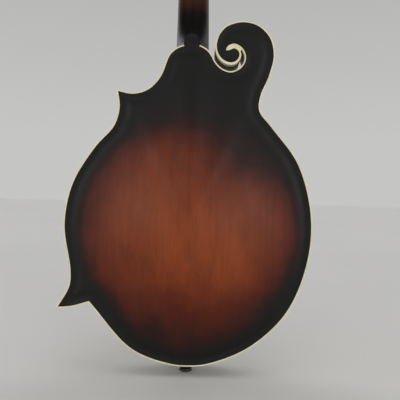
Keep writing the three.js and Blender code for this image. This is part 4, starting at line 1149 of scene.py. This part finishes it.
worm_pitch = 1.35
worm_profile = [(1.2, -6.3), (1.2, -3.9), (2.0, -3.6)]
for k in range(5):
    start = -3.4 + worm_pitch * k
    worm_profile += [(2.2, start), (2.2, start + 0.5), (1.55, start + 0.8), (1.55, start + 1.05)]
worm_profile += [(2.0, 3.5), (1.2, 3.8), (1.2, 16.2), (1.9, 16.6), (1.9, 17.4), (1.5, 18.2),
                 (1.3, 19.6)]
worm_shaft = turned("worm_shaft", worm_profile, 20, "X")
finish_mesh(worm_shaft, Matrix.Identity(4))
worm_shaft.data.materials.append(nickel)
button_shape = smooth_line([(18.9, 1.7), (20.3, 3.0), (24, 5.7), (28.5, 6.3), (31.5, 5.0),
                            (33.6, 2.6), (34.1, 0.4)], 0.8)
button_thick = smooth_line([(18.9, 1.7), (20.3, 2.3), (24, 2.75), (28.5, 2.9), (31.5, 2.5),
                            (33.6, 1.5), (34.1, 0.3)], 0.8)
thick_line = np.array(button_thick)
pearl_button = loft("pearl_button", [
    [(x, float(np.interp(x, *thick_line.T)) * math.cos(2 * math.pi * k / 28),
      tall * math.sin(2 * math.pi * k / 28)) for k in range(28)]
    for x, tall in button_shape])
finish_mesh(pearl_button, Matrix.Identity(4))
pearl_button.data.materials.append(shell)

for side, word in sides:
    for i, z in enumerate(post_places, start=1):
        turn = Matrix.Identity(4) if side > 0 else Matrix.Rotation(math.pi, 4, "Y")
        post_way = head_frame @ Matrix.Translation((side * post_offset, 0, z))
        shaft_way = head_frame @ Matrix.Translation(
            (side * post_offset, worm_height, z - worm_drop)) @ turn
        for shape, kind, way, body, finish in (
                (post_set, "tuner_post", post_way, "post", "nickel"),
                (worm_shaft, "worm_shaft", shaft_way, "button", "nickel"),
                (pearl_button, "pearl_button", shaft_way, "button", "pearloid")):
            piece = copy_piece(shape, "%s_%s_%d" % (word, kind, i), way)
            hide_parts("%s_%s_%d" % (word, body, i))
            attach(piece, "%s_%s_%d" % (word, body, i))
for spare in (post_set, worm_shaft, pearl_button):
    bpy.data.objects.remove(spare)
finish_node("truss_rod", steel)

# ------------------------------------------------------------------ bridge
# An ebony base whose two feet are fitted to the arch, and a saddle that stands on it on two
# threaded posts. Knurled wheels on the posts raise and lower the saddle.
bridge_line = neck_in_body @ Vector((0, string_over_bridge, nut_place - scale_length))
bridge_z = bridge_line.z
saddle_top = bridge_line.y - 1.25
base_top = saddle_top - 11.4
wheel_low = base_top + 1.5
saddle_low = wheel_low + 2.5
bridge_post_x = 32.0
foot_half_width = 5.5
saddle_half_width = 3.25
crest = smooth_line([(-57, -6.6), (-52, -4.6), (-42, -2.0), (-35, -0.1), (-30, 0), (0, 0), (30, 0),
                     (35, -0.1), (42, -2.0), (52, -4.6), (57, -6.6)], 1.0)
crest_line = np.array(crest)
sections = []
for x in np.concatenate([np.arange(-57, -24, 1.5), np.arange(-24, 24.5, 1.0),
                         np.arange(25.5, 57.1, 1.5)]):
    high = base_top + float(np.interp(x, *crest_line.T))
    end_taper = 1.0 if abs(x) < 54 else 1.0 - 0.16 * (abs(x) - 54)
    wide = foot_half_width * end_taper
    bottom = []
    for z in (bridge_z - wide, bridge_z + wide):
        foot = rim_half + float(arch_height(np.array([x]), np.array([z]))[0]) + 0.15
        arch_gap = base_top - 4.6 - 0.0035 * x * x
        share = min(max((24.5 - abs(x)) / 4.0, 0.0), 1.0)
        bottom.append(foot + (arch_gap - foot) * share ** 0.6)
    sections.append([
        (x, bottom[0], bridge_z - wide), (x, bottom[1], bridge_z + wide),
        (x, high - 1.2, bridge_z + wide), (x, high - 0.35, bridge_z + wide - 0.5),
        (x, high, bridge_z + wide - 1.4), (x, high, bridge_z - wide + 1.4),
        (x, high - 0.35, bridge_z - wide + 0.5), (x, high - 1.2, bridge_z - wide)])
bridge_base = loft("bridge_foot", sections)
place_piece(bridge_base, body_frame, ebony, nodes=["bridge_base"])

saddle_peak = bridge_line.y + 0.05
saddle_profile = (
    [(-43, saddle_low), (43, saddle_low), (43, saddle_top - 4.6), (41.5, saddle_top - 3.6),
     (35, saddle_top - 2.6), (28, saddle_top - 0.6), (24.5, saddle_peak - 0.2)]
    + notched_edge(bridge_strings, saddle_peak, bridge_line.y)
    + [(-24.5, saddle_peak - 0.2), (-28, saddle_top - 0.6), (-35, saddle_top - 2.6),
       (-41.5, saddle_top - 3.6), (-43, saddle_top - 4.6)])
saddle = cut_solid("saddle", [saddle_profile], bridge_z - saddle_half_width,
                   bridge_z + saddle_half_width, lying=False)
for x, start in ((12.8, 0.5), (0, -3.3), (-12.8, 0.5)):
    carve(saddle, block("step", (x - 4.6, saddle_top - 1.2, bridge_z + start),
                        (x + 4.6, saddle_top + 6, bridge_z + start + 2.8)))
for side in (-1, 1):
    bore = turned("bore", ((2.3, saddle_low - 2), (2.3, saddle_top - 1.7)), 20, "Y",
                  (side * bridge_post_x, bridge_z))
    carve(saddle, bore)
place_piece(saddle, body_frame, ebony, "bridge_saddle", ["bridge_saddle"])

wheel_line = toothed_loop(36, ((6.0, -0.2), (6.0, 0.2), (5.6, 0.5)))
thread_step = 0.35
thread = [(1.75, base_top - 1.0)]
for k in range(int((saddle_top - 3.4 - base_top + 1.0) / thread_step)):
    thread.append((1.98 if k % 2 else 1.65, base_top - 1.0 + thread_step * (k + 1)))
for side, word in sides:
    x = side * bridge_post_x
    wheel = cut_solid("wheel", [wheel_line, circle(2.3, 0, 0)], wheel_low, wheel_low + 2.2, 0.15)
    wheel.name = word + "_height_wheel"
    wheel_way = body_frame @ Matrix.Translation((x, 0, bridge_z))
    place_piece(wheel, wheel_way, nickel, word + "_thumbwheel", [word + "_thumbwheel"])
    rod = turned(word + "_threaded_post", thread, 16, "Y", (x, bridge_z))
    place_piece(rod, body_frame, steel, nodes=[word + "_bridge_post"])

# ------------------------------------------------------------------ tailpiece
# A nickel-plated base with eight hooks, screwed to the tail, under a pressed cover that slides
# on over it. The cover is crowned and its edges are rolled down.
tail_length = 85.0
tail_tilt = math.atan2(arch_rise * 0.65, tail_length)
tail_in_body = Matrix.Translation((0, rim_half + 1, 0)) @ Matrix.Rotation(-tail_tilt, 4, "X")
tail_frame = body_frame @ tail_in_body
hook_z = 30.0
hook_spacing = 5.2
hook_x = [(3.5 - i) * hook_spacing for i in range(8)]
plate_loop = [(-27, -1.5), (27, -1.5), (27, 34), (19, 85), (-19, 85), (-27, 34)]
base_sheet = cut_solid("base_sheet", [plate_loop], 0, sheet_thickness, 0.2)
base_parts = [base_sheet]
for x in hook_x:
    hook = turned("hook", ((0.8, 0.8), (0.8, 4.0), (1.15, 4.2), (1.15, 4.5), (0.6, 4.7)), 12, "Y",
                  (x, hook_z))
    base_parts.append(hook)
for part in base_parts:
    part.data.transform(tail_in_body)
apron_loop = [(-14, -12), (-11.5, -15), (11.5, -15), (14, -12), (14, rim_half + 1.9),
              (-14, rim_half + 1.9)]
screw_places = ((-9.5, 10), (9.5, 10), (0, -10))
apron = cut_solid("apron", [apron_loop, circle(3.5)] + [circle(1.5, x, y, 16)
                  for x, y in screw_places], -1.5, -0.3, 0.2, lying=False)
base_parts.append(apron)
place_piece(join_pieces("tailpiece_base", base_parts), body_frame, nickel, nodes=["tailpiece"])
crown = 1.2
shoulder = 3


def cover_section(z, wide, tall, wall=0.9):
    """The cover's cross-section: a thin crowned channel with rounded shoulders."""
    outer = []
    for k in range(9):
        turn = math.pi / 2 * k / 8
        outer.append((wide - shoulder * (1 - math.cos(turn)),
                      tall - shoulder * (1 - math.sin(turn))))
    across = [(x, tall + crown * (1 - (x / (wide - shoulder)) ** 2))
              for x in np.linspace(wide - 4, 4 - wide, 11)]
    half = [(wide, 1.7)] + outer
    full = half + across + [(-x, y) for x, y in half[::-1]]
    inner = [(x * (wide - wall) / wide, y - wall if y > 2 else y) for x, y in full]
    return [(x, y - crown if y > 2 else y, z) for x, y in full + inner[::-1]]


def cover_size(z):
    """Half width and height of the cover at a place along it."""
    if z < 34:
        share = (z + 3.4) / 37.4
        return 26.8 + share, 7.4 + 1.8 * share
    share = (z - 34) / 54
    return 27.8 - 7.0 * share, 9.2 + 1.8 * share


cover = loft("tailpiece_lid", [cover_section(z, *cover_size(z))
             for z in np.concatenate([np.arange(-2.6, 88, 3.0), [87.9]])])
end_wide, end_tall = cover_size(-3.4)
end_loop = [(x, y) for x, y, _ in cover_section(0, end_wide, end_tall)]
end_loop = end_loop[:len(end_loop) // 2]
lid_end = cut_solid("lid_end", [end_loop[::-1]], -3.4, -2.2, 0.3, lying=False)
lid_grip = [loft("rib", [[(x, cover_size(z)[1] - 0.25 + 0.45 * math.sin(math.pi * k / 6),
                          z + 0.8 * math.cos(math.pi * k / 6)) for k in range(7)]
                         for x in (-w, w)])
            for z, w in ((6, 18.0), (9.5, 18.5), (13, 19.0))]
place_piece(join_pieces("tailpiece_lid", [cover, lid_end] + lid_grip), tail_frame, nickel,
            "tailpiece_cover", ["tailpiece_cover"])

# ------------------------------------------------------------------ end pin and tail screws
# A turned ebony pin pressed into the tail block through the tailpiece, to hold a strap, and
# three round-headed screws round it.
pin_profile = [(x, -z) for x, z in (
    (2.8, -16), (3.2, 0), (3.2, 2), (5.2, 2), (5.4, 2.3), (5.4, 2.8), (4.6, 3.6), (4.1, 4.8),
    (4.2, 5.8), (4.9, 6.8), (6.3, 7.3), (7.0, 8.2), (7.1, 9.0), (6.9, 9.9), (6.2, 10.6),
    (4.8, 10.95), (2.5, 11), (0.5, 11))]
end_pin = turned("strap_pin", pin_profile, 32, "Z")
polished_ebony = black_wood("polished_ebony", 0.25)
place_piece(end_pin, body_frame, polished_ebony, nodes=["end_pin"])
for i, (x, y) in enumerate(screw_places, start=1):
    head_profile = [(0.5, 11), (1.25, 8.5), (1.25, -1.6), (2.7, -1.6), (2.65, -2.1), (2.2, -2.8),
                    (1.3, -3.25), (0.4, -3.4)]
    screw = turned("tail_screw_%d" % i, head_profile, 20, "Z", (x, y))
    carve(screw, block("slot", (x - 3, y - 0.3, -5), (x + 3, y + 0.3, -2.6)))
    place_piece(screw, body_frame, nickel, nodes=["tailpiece_screw_%d" % i])

# ------------------------------------------------------------------ strings
# Eight steel strings in pairs, the lower four wound with bronze. Each ends in a loop over its
# hook with a twisted lead, and in turns round its post.
def wire(name, path, radius, sides=3):
    """A round wire along a path of points."""
    line = bpy.data.curves.new(name, "CURVE")
    line.dimensions = "3D"
    line.bevel_depth = radius
    line.bevel_resolution = sides
    line.use_fill_caps = True
    spline = line.splines.new("POLY")
    spline.points.add(len(path) - 1)
    for point, place in zip(spline.points, path):
        point.co = (*place, 1)
    piece = bpy.data.objects.new(name, line)
    bpy.context.scene.collection.objects.link(piece)
    pick(piece)
    bpy.ops.object.convert(target="MESH")
    piece = bpy.context.object
    piece.select_set(False)
    return piece


string_steel = metal("string_steel", (0.60, 0.60, 0.60), 0.22, 0.08)
bronze = metal("wound_bronze", (0.62, 0.40, 0.20), 0.30, 0.10)
wire_radii = (0.46, 0.46, 0.36, 0.36, 0.21, 0.21, 0.17, 0.17)
coil_height = overlay_top + 4
coil_turns = 3.25
coil_steps = 18
loop_height = sheet_thickness + 1.7
for i, gauge in enumerate(wire_radii):
    side = 1 if i < 4 else -1
    post_z = post_places[i if i < 4 else 7 - i]
    thin = min(gauge, 0.25)
    ring_radius = 1.05 + thin
    loop_path = [tail_in_body @ Vector((hook_x[i] + ring_radius * math.sin(a), loop_height,
                                        hook_z - ring_radius * math.cos(a)))
                 for a in np.linspace(-2.6, 2.6, 19)]
    lead_start = tail_in_body @ Vector((hook_x[i], loop_height, hook_z + ring_radius))
    at_bridge = Vector((bridge_strings[i], bridge_line.y - 0.04, bridge_z))
    at_nut = neck_in_body @ Vector((nut_strings[i], string_over_nut, nut_place + 2.2))
    coil_radius = 2.5 + gauge + 0.05
    end_angle = 0.0 if side < 0 else math.pi
    coil = []
    for k in range(int(coil_turns * coil_steps) + 1):
        angle = end_angle - side * 2 * math.pi * k / coil_steps
        drop = 0.9 - 2.0 * k / (coil_turns * coil_steps) * max(gauge, 0.25) / 0.46
        coil.append(head_in_body @ Vector((
            side * post_offset + coil_radius * math.cos(angle), coil_height + drop,
            post_z - coil_radius * math.sin(angle))))
    main = [lead_start + (at_bridge - lead_start) * 0.02, at_bridge, at_nut, *coil]
    string = wire("string", main, gauge)
    ring_wire = wire("ring", loop_path, thin, 2)
    lead = lead_start + (at_bridge - lead_start) * 0.11
    twist_path = []
    run = lead - lead_start
    aside = run.cross(Vector((1, 0, 0))).normalized()
    for k in range(37):
        angle = 2 * math.pi * k / 6
        swing = gauge + thin * 0.4
        twist_path.append(lead_start + run * (k / 36) + Vector((math.cos(angle) * swing, 0, 0))
                          + aside * math.sin(angle) * swing)
    twist = wire("twist", twist_path, thin * 0.8, 1)
    name = "%s_string_%d" % ("gdae"[i // 2], i % 2 + 1)
    whole = join_pieces(name + "_wire", [string, ring_wire, twist])
    wound = i < 4
    place_piece(whole, body_frame, bronze if wound else string_steel,
                nodes=[name])
